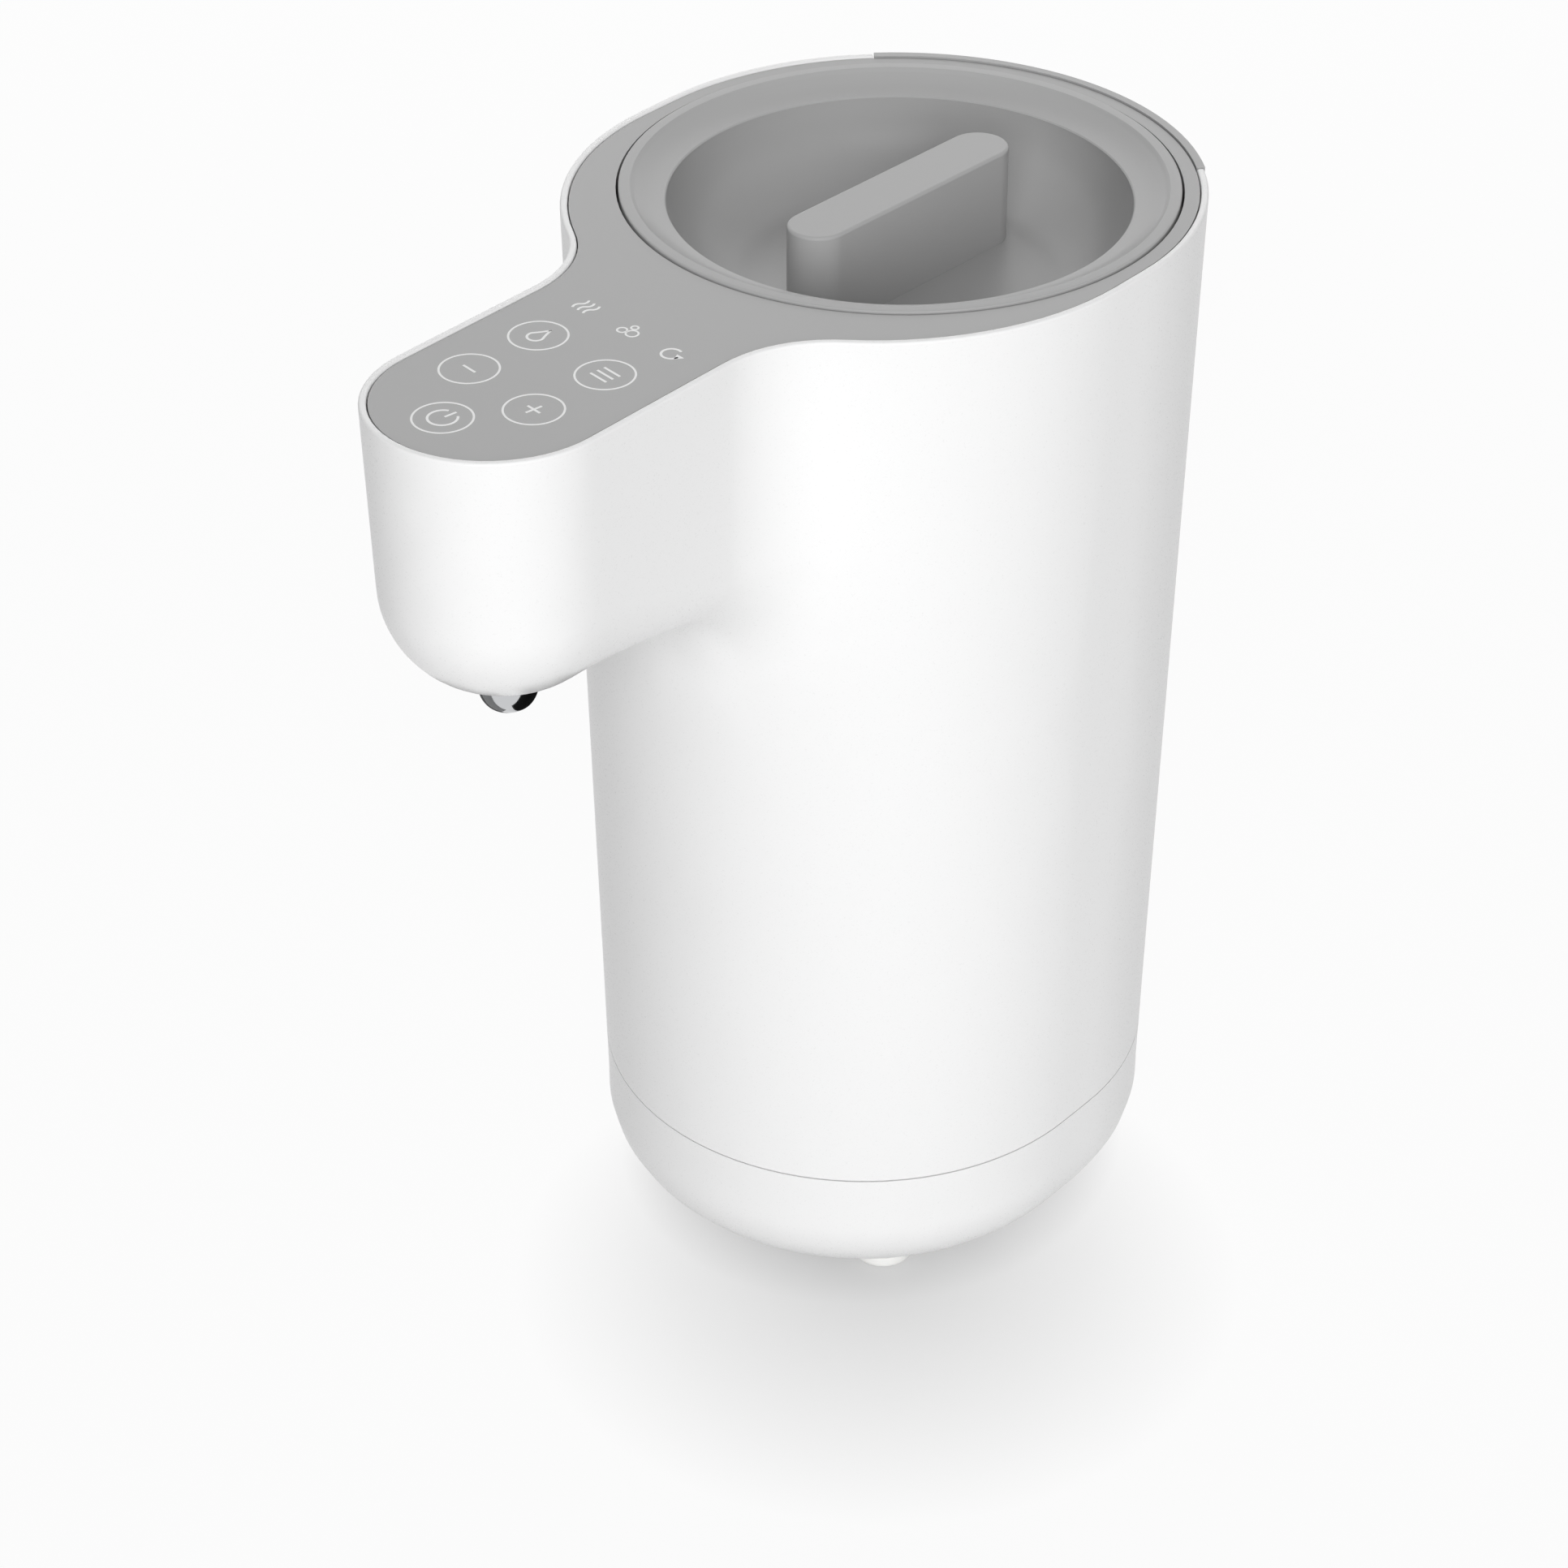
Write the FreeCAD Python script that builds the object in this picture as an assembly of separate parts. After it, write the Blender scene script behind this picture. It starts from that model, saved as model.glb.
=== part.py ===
import FreeCAD, Part
import math
import os
from FreeCAD import Vector

# Millimetres. The floor is z = 0, the arm points along -Y, and the origin lies under the middle of
# the machine's bounding box.

# Overall form
FOOT_HEIGHT = 3.3
BASE_HEIGHT = 33.7
SHELL_HEIGHT = 203.6
BODY_RADIUS = 60.9
OVAL_SHIFT = 9.2
DRAFT = 0.0181
WALL = 2.4
BASE_ROUND = 22.3
SEAM_GAP = 0.35
RABBET_HEIGHT = 3.2
TONGUE_HEIGHT = 2.8
TONGUE_ROOT = 3.0
BASE_ROUND_STEPS = 8

# Arm
ARM_REACH = 139.7
ARM_HALF_WIDTH = 24.4
ARM_DEPTH = 58.4
ARM_DRAFT = 0.025
ARM_ROOT_DEPTH = 9.0
ARM_TIP_ROUND = 20.5
ARM_ROOT_ROUND = 4.0
NECK_ROUND = 24.6

# Top panel and throat
RIM_WALL = 1.5
PANEL_GAP = 0.25
PANEL_DROP = 0.4
PANEL_THICKNESS = 2.6
SEAT_INSET = 3.2
SEAT_THICKNESS = 2.0
LID_INSET = 5.2
LID_GAP = 0.5
COLLAR_WALL = 1.0
LEDGE_DEPTH = 6.6
LEDGE_THICKNESS = 2.0
LEDGE_WIDTH = 3.2
THROAT_WALL = 1.8
THROAT_DEPTH = 16.6
LID_RADIUS = BODY_RADIUS - LID_INSET
THROAT_RADIUS = LID_RADIUS - LEDGE_WIDTH

# Lid
LID_WALL = 2.0
CROWN_RISE = 0.5
CROWN_WIDTH = 2.4
CROWN_STEP = 0.5
CROWN_EDGE = 0.4
SLOPE_WIDTH = 6.5
SLOPE_DROP = 2.9
SLOPE_SAG = 0.5
SLOPE_STEPS = 3
BOWL_WALL_RUN = 15.4
BOWL_DEPTH = 21.0
BOWL_STEPS = 8
BAR_LENGTH = 60.4
BAR_WIDTH = 12.4
BAR_DROP = 0.3
BAR_TURN = -2.1
BAR_EDGE = 0.6
LID_SCREW_INSET = 10.0
LID_BOSS_RADIUS = 3.2
LID_BOSS_DROP = 1.7
LID_BOSS_BORE = 3.5
LID_SCREW_LENGTH = 5.0
SLOPE_OUTER_RADIUS = LID_RADIUS - CROWN_WIDTH - CROWN_EDGE
SLOPE_INNER_RADIUS = SLOPE_OUTER_RADIUS - SLOPE_WIDTH
BOWL_FLOOR_RADIUS = SLOPE_INNER_RADIUS - BOWL_WALL_RUN

# Plug under the lid and its seal
PLUG_WALL = 2.0
PLUG_CLEARANCE = 0.6
PLUG_NECK_CLEARANCE = 1.1
PLUG_NECK_WALL = 2.7
SEAL_GROOVE = 1.4
SEAL_HEIGHT = 3.0
SEAL_RISE = 2.4
SEAL_CLEARANCE = 0.2

# Liner and its cradle
LINER_INSET = 2.5
LINER_WALL = 0.8
LINER_CORNER = 8.0
LINER_CORNER_STEPS = 4
LINER_FLANGE = 3.4
GASKET_THICKNESS = 1.2
PORT_RADIUS = 4.0
PORT_INSET = 12.5
PORT_LENGTH = 14.0
CRADLE_HEIGHT = 13.4
CRADLE_RING_WIDTH = 5.5
CRADLE_FLANGE_REACH = 1.4
CRADLE_FLANGE = 3.0
CRADLE_SLOT = 6.0
CRADLE_SLOTS = 12
CRADLE_SCREW_LENGTH = 9.0
LINER_RADIUS = THROAT_RADIUS - LINER_INSET
CRADLE_FLANGE_RADIUS = LINER_RADIUS + CRADLE_FLANGE_REACH
PORT_OFFSET = LINER_RADIUS - PORT_INSET
LID_SCREW_RING = LINER_RADIUS - LID_SCREW_INSET

# Heater
HEATER_INSET = 19.5
HEATER_THICKNESS = 4.6
ELEMENT_INSET = 6.5
ELEMENT_RADIUS = 3.3
ELEMENT_HALF_GAP = 17.5
ELEMENT_SIDES = 6
ELEMENT_PIN_ANGLE = 6.0
PIN_RADIUS = 1.5
PIN_LENGTH = 12.0
PIN_BLOCK_SIDE = 2.0
PIN_BLOCK_END = 3.5
PIN_BLOCK_GAP = 0.4
SHIELD_SHEET = 0.6
SHIELD_DROP = 7.6
THERMOSTAT_RADIUS = 9.5
THERMOSTAT_HEIGHT = 9.0
THERMOSTAT_STEP = 3.0
THERMOSTAT_TAB = 4.0
THERMOSTAT_TAB_X = 3.0
FUSE_RADIUS = 2.0
FUSE_LENGTH = 13.0
PROBE_RADIUS = 2.5
PROBE_LENGTH = 5.0
FUSE_SHIFT = 0.1
HEATER_RADIUS = LINER_RADIUS - HEATER_INSET
ELEMENT_RING = HEATER_RADIUS - ELEMENT_INSET
FUSE_OFFSET = (THERMOSTAT_RADIUS + ELEMENT_RING - ELEMENT_RADIUS) / 2 - FUSE_SHIFT

# Fits
FIT = 0.1
RUNNING = 0.05
SCREW_RADIUS = 1.4
SCREW_HEAD_RADIUS = 2.7
SCREW_HEAD = 1.8
HEAD_CLEARANCE = 0.3

RIM_Z = FOOT_HEIGHT + BASE_HEIGHT + SHELL_HEIGHT
SEAM_Z = FOOT_HEIGHT + BASE_HEIGHT
COVER_PROUD = 0.2
LID_Y = (ARM_REACH - BODY_RADIUS - COVER_PROUD) / 2
FRONT_Y = LID_Y - OVAL_SHIFT
MIDDLE_Y = LID_Y - OVAL_SHIFT / 2
ARM_TIP_Y = LID_Y - ARM_REACH + ARM_HALF_WIDTH
ARM_ROOT_Y = FRONT_Y - math.sqrt(BODY_RADIUS**2 - ARM_HALF_WIDTH**2) + ARM_ROOT_DEPTH
PANEL_TOP_Z = RIM_Z - PANEL_DROP
PANEL_BOTTOM_Z = PANEL_TOP_Z - PANEL_THICKNESS
LEDGE_Z = PANEL_TOP_Z - LEDGE_DEPTH
THROAT_LOW_Z = PANEL_TOP_Z - THROAT_DEPTH
BOWL_FLOOR_Z = PANEL_TOP_Z + CROWN_RISE - BOWL_DEPTH
FLOOR_Z = FOOT_HEIGHT + WALL
ARM_FLOOR_Z = RIM_Z - ARM_DEPTH

# Screw posts that join the base shell, the housing and the cradle
POST_INSET = 17.9
POST_SPREAD = 15.0
POST_RADIUS = 4.0
POST_RISE = 24.8
POST_RIB_RISE = 4.0
POST_RIB_HALF = 1.0
POST_X = BODY_RADIUS - POST_INSET
POST_TOP_Z = SEAM_Z + POST_RISE
POSTS = [(sx * POST_X, MIDDLE_Y + sy * POST_SPREAD) for sx in (-1, 1) for sy in (-1, 1)]
LINER_BOTTOM_Z = POST_TOP_Z + CRADLE_HEIGHT
LINER_TOP_Z = THROAT_LOW_Z - GASKET_THICKNESS
HEATER_LOW_Z = LINER_BOTTOM_Z - HEATER_THICKNESS

# Feet
FOOT_RADIUS = 5.6
FOOT_INSET_X = 33.6
FOOT_INSET_Y = 31.4
FOOT_POCKET = 1.6
FOOT_BOSS_WALL = 1.5
FOOT_STEM_RADIUS = 2.2
BASE_SCREW_DEPTH = 6.0
BASE_SCREW_REACH = 12.0
FOOT_X = BODY_RADIUS - FOOT_INSET_X
FOOT_SPREAD = BODY_RADIUS - FOOT_INSET_Y
FEET = [(sx * FOOT_X, MIDDLE_Y + sy * FOOT_SPREAD) for sx in (-1, 1) for sy in (-1, 1)]

# Rear cover and power inlet
COVER_HALF_ANGLE = 44.5
COVER_RISE = 6.0
COVER_THICKNESS = 2.2
LIP_WIDTH = 3.0
LIP_THICKNESS = 1.0
VENT_COUNT = 8
VENT_PITCH = 7.0
VENT_HEIGHT = 3.0
VENT_HALF_ANGLE = 24.0
VENT_DROP = 82.6
INLET_RISE = 17.0
INLET_WIDTH = 20.0
INLET_HEIGHT = 12.0
INLET_DEPTH = 15.0
INLET_FLANGE = 3.2
INLET_FLANGE_THICKNESS = 2.0
INLET_SEAT_DEPTH = 3.6
INLET_BLOCK = 2.0
INLET_BLOCK_RISE = 1.4
INLET_RECESS_DEPTH = 11.0
INLET_LOBE = 4.0
INLET_PITCH = 8.6
INLET_PIN_RADIUS = 1.18
INLET_PIN_TAIL = 4.0
COVER_LOW_Z = SEAM_Z + COVER_RISE
VENT_LOW_Z = RIM_Z - VENT_DROP
INLET_Z = SEAM_Z + INLET_RISE

# Pump
PUMP_RADIUS = 17.0
PUMP_SEAT_RISE = 6.7
PAD_THICKNESS = 3.0
MOTOR_HEIGHT = 20.0
VOLUTE_HEIGHT = 12.0
VOLUTE_WALL = 2.0
LUG_RADIUS = 3.0
LUG_REACH = 20.0
LUG_THICKNESS = 3.0
LUG_ANGLES = (30, 150, 270)
PUMP_SCREW_LENGTH = 5.5
IMPELLER_RADIUS = 12.5
IMPELLER_DISC = 1.2
IMPELLER_BLADES = 6
IMPELLER_BLADE_HEIGHT = 5.0
IMPELLER_HUB_RADIUS = 3.2
IMPELLER_LEAN = 25.0
BLADE_THICKNESS = 1.2
SHAFT_RADIUS = 1.5
SHAFT_LENGTH = 8.6
PUMP_Y = LID_Y - PORT_OFFSET
PUMP_SEAT_Z = FOOT_HEIGHT + PUMP_SEAT_RISE
PUMP_Z = PUMP_SEAT_Z + PAD_THICKNESS
VOLUTE_LOW_Z = PUMP_Z + MOTOR_HEIGHT
VOLUTE_TOP_Z = VOLUTE_LOW_Z + VOLUTE_HEIGHT

# Water path
NIPPLE_RADIUS = 4.0
NIPPLE_BORE = 2.8
NIPPLE_LENGTH = 9.0
HOSE_WALL = 1.8
HOSE_OVERLAP = 8.0
RISER_X = 12.0
RISER_INSET = 14.5
RISER_GAP = 17.0
LOW_CLIP_RISE = 24.0
HIGH_CLIP_DROP = 64.0
CLIP_HEIGHT = 6.0
CLIP_SIDE = 2.4
CLIP_REACH = 16.0
ELBOW_RISE = 21.8
ELBOW_SOCKET = 14.0
ELBOW_ARM = 16.0
ELBOW_RADIUS = 5.5
NOZZLE_RADIUS = 6.0
NOZZLE_TIP_RADIUS = 4.6
NOZZLE_DROP = 7.6
NOZZLE_SPOT = 0.6
NOZZLE_BORE = 2.4
NOZZLE_STEM = 4.0
NOZZLE_BOSS_RADIUS = 8.5
NOZZLE_BOSS_HEIGHT = 3.8
NOZZLE_SEAL_THICKNESS = 1.2
NOZZLE_BODY_RADIUS = 7.5
NOZZLE_STEM_DEPTH = 10.0
HOSE_RADIUS = NIPPLE_RADIUS + FIT + HOSE_WALL
RISER_Y = FRONT_Y - BODY_RADIUS + RISER_INSET
RISER_LOW_Z = VOLUTE_TOP_Z + RISER_GAP
ELBOW_Z = ARM_FLOOR_Z + ELBOW_RISE
RISER_CLIPS = (RISER_LOW_Z + LOW_CLIP_RISE, ELBOW_Z - HIGH_CLIP_DROP)
NOZZLE_SEAL_Z = ARM_FLOOR_Z + NOZZLE_BOSS_HEIGHT
NOZZLE_BODY_Z = NOZZLE_SEAL_Z + NOZZLE_SEAL_THICKNESS

# Power board
BOARD_THICKNESS = 1.6
BOARD_INSET = 29.9
BOARD_LENGTH = 58.0
BOARD_HEIGHT = 40.0
BOARD_RISE = 8.7
BOARD_RAIL = 2.5
BOARD_RAIL_SHARE = 0.6
PLUG_ROW_DROP = 12.0
PLUG_ROW_HEIGHT = 8.0
PLUG_ROW_DEPTH = 6.0
RELAY_DEPTH = 10.0
RELAY_WIDTH = 6.8
RELAY_HEIGHT = 16.0
RELAY_RISE = 5.0
RELAY_GAP = 0.4
TRANSFORMER_DEPTH = 14.0
TRANSFORMER_WIDTH = 12.0
TRANSFORMER_HEIGHT = 14.0
TRANSFORMER_RISE = 4.0
COIL_MARGIN = 2.0
COIL_WIDTH = 17.0
CAPACITOR_RADIUS = 3.5
CAPACITOR_LENGTH = 12.0
CAPACITOR_INSET = 6.3
CAPACITOR_RISES = (7.0, 16.5)
BOARD_X = BOARD_INSET - BODY_RADIUS
BOARD_LOW_Z = FOOT_HEIGHT + BOARD_RISE
BOARD_TOP_Z = BOARD_LOW_Z + BOARD_HEIGHT
PLUG_ROW_Z = BOARD_TOP_Z - PLUG_ROW_DROP
TERMINALS_Y = (MIDDLE_Y - 0.7, MIDDLE_Y + 19.3)
PLUGS_Y = (MIDDLE_Y - 27.2, MIDDLE_Y - 16.7)
MAINS_TERMINAL_Y = TERMINALS_Y[1] - 3.5
HEATER_TERMINAL_Y = TERMINALS_Y[0] + 4.0
TOUCH_PLUG_Y = PLUGS_Y[0] + 4.5

# Fan
FAN_BACK_GAP = 18.9
FAN_BOARD_GAP = 6.0
FAN_THICKNESS = 10.0
FAN_CORNER = 4.0
FAN_RISE = 10.7
FAN_RIM = 1.5
FAN_TIP_CLEARANCE = 0.8
FAN_HUB_RADIUS = 10.0
FAN_STATOR = 1.6
FAN_STRUT = 2.4
FAN_BLADES = 7
FAN_BLADE_PITCH = 38.0
FAN_CHORD = 10.0
FAN_HOLE_INSET = 5.0
FAN_POST_RADIUS = 3.0
FAN_SCREW_LENGTH = 8.0
GRILLE_PITCH = 5.6
GRILLE_SLOT = 2.6
GRILLE_INSET = 6.5
FAN_SIZE = -2 * (BOARD_X + FAN_BOARD_GAP)
FAN_Y = LID_Y + BODY_RADIUS - FAN_BACK_GAP - FAN_SIZE / 2
FAN_LOW_Z = FOOT_HEIGHT + FAN_RISE
FAN_DUCT_RADIUS = FAN_SIZE / 2 - FAN_RIM
FAN_HOLE_SPREAD = FAN_SIZE / 2 - FAN_HOLE_INSET
GRILLE_RADIUS = FAN_DUCT_RADIUS - GRILLE_INSET

# Touch board
TOUCH_BOARD_HALF_WIDTH = 19.0
TOUCH_BOARD_DROP = 4.0
TOUCH_BOARD_INSET = 2.1
TOUCH_POST_RADIUS = 2.6
TOUCH_POST_SIDE_INSET = 3.0
TOUCH_POST_ROOT_INSET = 6.0
TOUCH_POST_TIP_INSET = 2.0
TOUCH_SCREW_LENGTH = 5.0
TOUCH_PLUG_X = -13.0
TOUCH_PLUG_INSET = 21.3
TOUCH_PLUG_DROP = 3.0
TOUCH_PLUG_HALF_LENGTH = 4.0
TOUCH_PLUG_HALF_WIDTH = 3.0
BUTTON_SPRING_RADIUS = 3.0
BUTTON_WIRE = 0.8
BUTTON_SPREAD = 9.8
BUTTON_ROW_INSETS = (45.2, 27.7)
BUTTON_TIP_INSET = 13.3
LED_SHIFT = 0.55
LED_PITCH = 12.2
LED_LENGTH = 2.0
LED_WIDTH = 1.25
LED_HEIGHT = 1.2
TOUCH_BOARD_TOP_Z = PANEL_BOTTOM_Z - TOUCH_BOARD_DROP
TOUCH_BOARD_Z = TOUCH_BOARD_TOP_Z - BOARD_THICKNESS
TOUCH_BOARD_ROOT = OVAL_SHIFT + BODY_RADIUS - TOUCH_BOARD_INSET
TOUCH_PLUG_REACH = TOUCH_BOARD_ROOT + TOUCH_PLUG_INSET
BUTTON_ROWS = [ARM_REACH - inset for inset in BUTTON_ROW_INSETS]
BUTTONS = [(sx * BUTTON_SPREAD, LID_Y - row) for row in BUTTON_ROWS for sx in (-1, 1)]
BUTTONS.append((0.0, LID_Y - ARM_REACH + BUTTON_TIP_INSET))
LED_ROW = (TOUCH_BOARD_ROOT + BUTTON_ROWS[0]) / 2 - LED_SHIFT
TOUCH_POST_X = TOUCH_BOARD_HALF_WIDTH - TOUCH_POST_SIDE_INSET
TOUCH_POST_ROWS = (LID_Y - TOUCH_BOARD_ROOT - TOUCH_POST_ROOT_INSET, ARM_TIP_Y + TOUCH_POST_TIP_INSET)
TOUCH_POSTS = [(sx * TOUCH_POST_X, y) for sx in (-1, 1) for y in TOUCH_POST_ROWS]

# Leads
LEAD_RADIUS = 1.2
POWER_LEAD_RADIUS = 2.0
LEAD_BEND_SHARE = 0.45
LEAD_CLIP_DROP = 96.0
LEAD_X = -16.0
LEAD_INSET = 12.3
LEAD_TURN_DROP = 16.0
LEAD_LOOP = 9.0
LEAD_PLUG_DEPTH = 3.0
MAINS_LEAD_X = -16.0
MAINS_LEAD_REACH = 9.0
CONNECTOR_LENGTH = 10.0
CONNECTOR_HALF_WIDTH = 8.0
CONNECTOR_HALF_HEIGHT = 3.0
LEAD_Y = FRONT_Y - BODY_RADIUS + LEAD_INSET
LEAD_TURN_Z = TOUCH_BOARD_Z - LEAD_TURN_DROP
LEAD_CLIP_Z = LEAD_TURN_Z - LEAD_CLIP_DROP


def cylinder(x, y, z0, z1, radius):
    return Part.makeCylinder(radius, z1 - z0, Vector(x, y, z0))


def tube(x, y, z0, z1, outer, inner):
    return cylinder(x, y, z0, z1, outer).cut(cylinder(x, y, z0 - 1, z1 + 1, inner))


def box(x0, x1, y0, y1, z0, z1):
    return Part.makeBox(x1 - x0, y1 - y0, z1 - z0, Vector(x0, y0, z0))


def rod(start, end, radius):
    axis = end.sub(start)
    return Part.makeCylinder(radius, axis.Length, start, axis)


def fuse_all(shapes):
    result = shapes[0]
    for shape in shapes[1:]:
        result = result.fuse(shape)
    return result.removeSplitter()


def cut_all(shape, tools):
    for tool in tools:
        shape = shape.cut(tool)
    return shape


def group(solids):
    return Part.makeCompound(solids)


def line(a, b):
    return Part.LineSegment(a, b).toShape()


def arc(a, middle, b):
    return Part.Arc(a, middle, b).toShape()


def turned(points, x=0.0, y=LID_Y):
    """A solid turned about the vertical axis at x, y from a closed outline of radius, height pairs."""
    corners = [Vector(r, 0, z) for r, z in points]
    outline = Part.makePolygon(corners + [corners[0]])
    solid = Part.Face(outline).revolve(Vector(0, 0, 0), Vector(0, 0, 1), 360)
    solid.translate(Vector(x, y, 0))
    return solid


def sector(z0, z1, inner, outer, half_angle):
    """A ring sector about the lid's axis, centred on the back of the machine."""
    ring = Part.makeCylinder(outer, z1 - z0, Vector(0, 0, z0), Vector(0, 0, 1), 2 * half_angle)
    ring = ring.cut(Part.makeCylinder(inner, z1 - z0 + 2, Vector(0, 0, z0 - 1)))
    ring.rotate(Vector(0, 0, 0), Vector(0, 0, 1), 90 - half_angle)
    ring.translate(Vector(0, LID_Y, 0))
    return ring


def screw(x, y, z_head, length, up=True):
    """A pan-head screw whose head's seat lies at z_head; its shank points up or down."""
    way = 1 if up else -1
    shank = rod(Vector(x, y, z_head), Vector(x, y, z_head + way * length), SCREW_RADIUS)
    head = rod(Vector(x, y, z_head - way * SCREW_HEAD), Vector(x, y, z_head), SCREW_HEAD_RADIUS)
    return shank.fuse(head)


def lead(points, radius):
    """A round lead through the points: straight runs joined by tangent arcs."""
    runs = [points[i + 1] - points[i] for i in range(len(points) - 1)]
    pieces = []
    start = points[0]
    for i in range(1, len(points) - 1):
        into = Vector(runs[i - 1]).normalize()
        out = Vector(runs[i]).normalize()
        turn = into.getAngle(out)
        setback = LEAD_BEND_SHARE * min(runs[i - 1].Length, runs[i].Length)
        bend = setback / math.tan(turn / 2)
        first = points[i] - into * setback
        centre = points[i] + (out - into).normalize() * (bend / math.cos(turn / 2))
        section = Part.Face(Part.Wire(Part.makeCircle(radius, first, into)))
        pieces.append(rod(start, first, radius))
        pieces.append(section.revolve(centre, into.cross(out), math.degrees(turn)))
        start = points[i] + out * setback
    pieces.append(rod(start, points[-1], radius))
    return fuse_all(pieces)


def hose(start, end):
    """A straight silicone hose whose ends are pushed over two nipples."""
    return rod(start, end, HOSE_RADIUS).cut(rod(start, end, NIPPLE_RADIUS + FIT))


def spread(shape, angles, x=0.0, y=LID_Y):
    """Copies of a shape turned about the vertical axis at x, y."""
    copies = []
    for angle in angles:
        copy = shape.copy()
        copy.rotate(Vector(x, y, 0), Vector(0, 0, 1), angle)
        copies.append(copy)
    return copies


def stadium(x_half, y_half, radius, z, y=LID_Y):
    """A stadium outline along Y, with its long half length y_half and half width radius."""
    low = y - y_half + radius
    high = y + y_half - radius
    return Part.Wire(
        [
            arc(Vector(x_half, high, z), Vector(0, high + radius, z), Vector(-x_half, high, z)),
            line(Vector(-x_half, high, z), Vector(-x_half, low, z)),
            arc(Vector(-x_half, low, z), Vector(0, low - radius, z), Vector(x_half, low, z)),
            line(Vector(x_half, low, z), Vector(x_half, high, z)),
        ]
    )


def prism(wire, height):
    return Part.Face(wire).extrude(Vector(0, 0, height))


def body_radius(z, inset=0.0):
    return BODY_RADIUS - DRAFT * (RIM_Z - z) - inset


def oval(z, inset=0.0):
    """The body's outline at a height: a half circle about the lid, another OVAL_SHIFT in front."""
    r = body_radius(z, inset)
    return Part.Wire(
        [
            arc(Vector(r, LID_Y, z), Vector(0, LID_Y + r, z), Vector(-r, LID_Y, z)),
            line(Vector(-r, LID_Y, z), Vector(-r, FRONT_Y, z)),
            arc(Vector(-r, FRONT_Y, z), Vector(0, FRONT_Y - r, z), Vector(r, FRONT_Y, z)),
            line(Vector(r, FRONT_Y, z), Vector(r, LID_Y, z)),
        ]
    )


def oval_solid(z0, z1, inset=0.0):
    return Part.makeLoft([oval(z0, inset), oval(z1, inset)], True, True)


def arm_outline(z, half_width):
    w = half_width
    return Part.Wire(
        [
            arc(Vector(w, ARM_TIP_Y, z), Vector(0, ARM_TIP_Y - w, z), Vector(-w, ARM_TIP_Y, z)),
            line(Vector(-w, ARM_TIP_Y, z), Vector(-w, ARM_ROOT_Y, z)),
            line(Vector(-w, ARM_ROOT_Y, z), Vector(w, ARM_ROOT_Y, z)),
            line(Vector(w, ARM_ROOT_Y, z), Vector(w, ARM_TIP_Y, z)),
        ]
    )


def arm_solid(inset):
    """The arm: drafted sides, a dome-like round at the tip that narrows towards the body."""
    z0 = RIM_Z - ARM_DEPTH + inset
    half_width = ARM_HALF_WIDTH - inset
    low_half_width = half_width - ARM_DRAFT * (ARM_DEPTH - inset)
    plain = Part.makeLoft([arm_outline(z0, low_half_width), arm_outline(RIM_Z, half_width)], True, True)
    tip_round = ARM_TIP_ROUND - inset
    root_round = ARM_ROOT_ROUND - inset
    rounds = []
    for number, edge in enumerate(plain.Edges, 1):
        ends = [edge.valueAt(edge.FirstParameter), edge.valueAt(edge.LastParameter)]
        if max(point.z for point in ends) > z0 + 0.01:
            continue
        if edge.Curve.TypeId == "Part::GeomCircle":
            rounds.append((number, tip_round, tip_round))
        elif abs(ends[0].y - ends[1].y) > 1.0:
            starts_at_tip = ends[0].y < ends[1].y
            pair = (tip_round, root_round) if starts_at_tip else (root_round, tip_round)
            rounds.append((number, *pair))
    document = FreeCAD.newDocument()
    source = document.addObject("Part::Feature", "plain_arm")
    source.Shape = plain
    feature = document.addObject("Part::Fillet", "rounded_arm")
    feature.Base = source
    feature.Edges = rounds
    document.recompute()
    rounded = feature.Shape.copy()
    FreeCAD.closeDocument(document.Name)
    return rounded


def is_neck_edge(edge, inset):
    """True for the edges where the arm meets the front of the body."""
    span = edge.LastParameter - edge.FirstParameter
    points = [edge.valueAt(edge.FirstParameter + span * k) for k in (0.0, 0.5, 1.0)]
    if all(point.z > RIM_Z - 0.01 for point in points) or min(p.z for p in points) < SEAM_Z + 1:
        return False
    for point in points:
        reach = math.hypot(point.x, point.y - FRONT_Y)
        if abs(reach - body_radius(point.z, inset)) > 0.02 or point.y > FRONT_Y - 5:
            return False
        if abs(point.x) > ARM_HALF_WIDTH:
            return False
    return True


def housing_form(z0, inset):
    """The outer form of the body and its arm, set in by a wall."""
    whole = oval_solid(z0, RIM_Z, inset).fuse(arm_solid(inset))
    neck = [edge for edge in whole.Edges if is_neck_edge(edge, inset)]
    return whole.makeFillet(NECK_ROUND + inset, neck)


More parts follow.
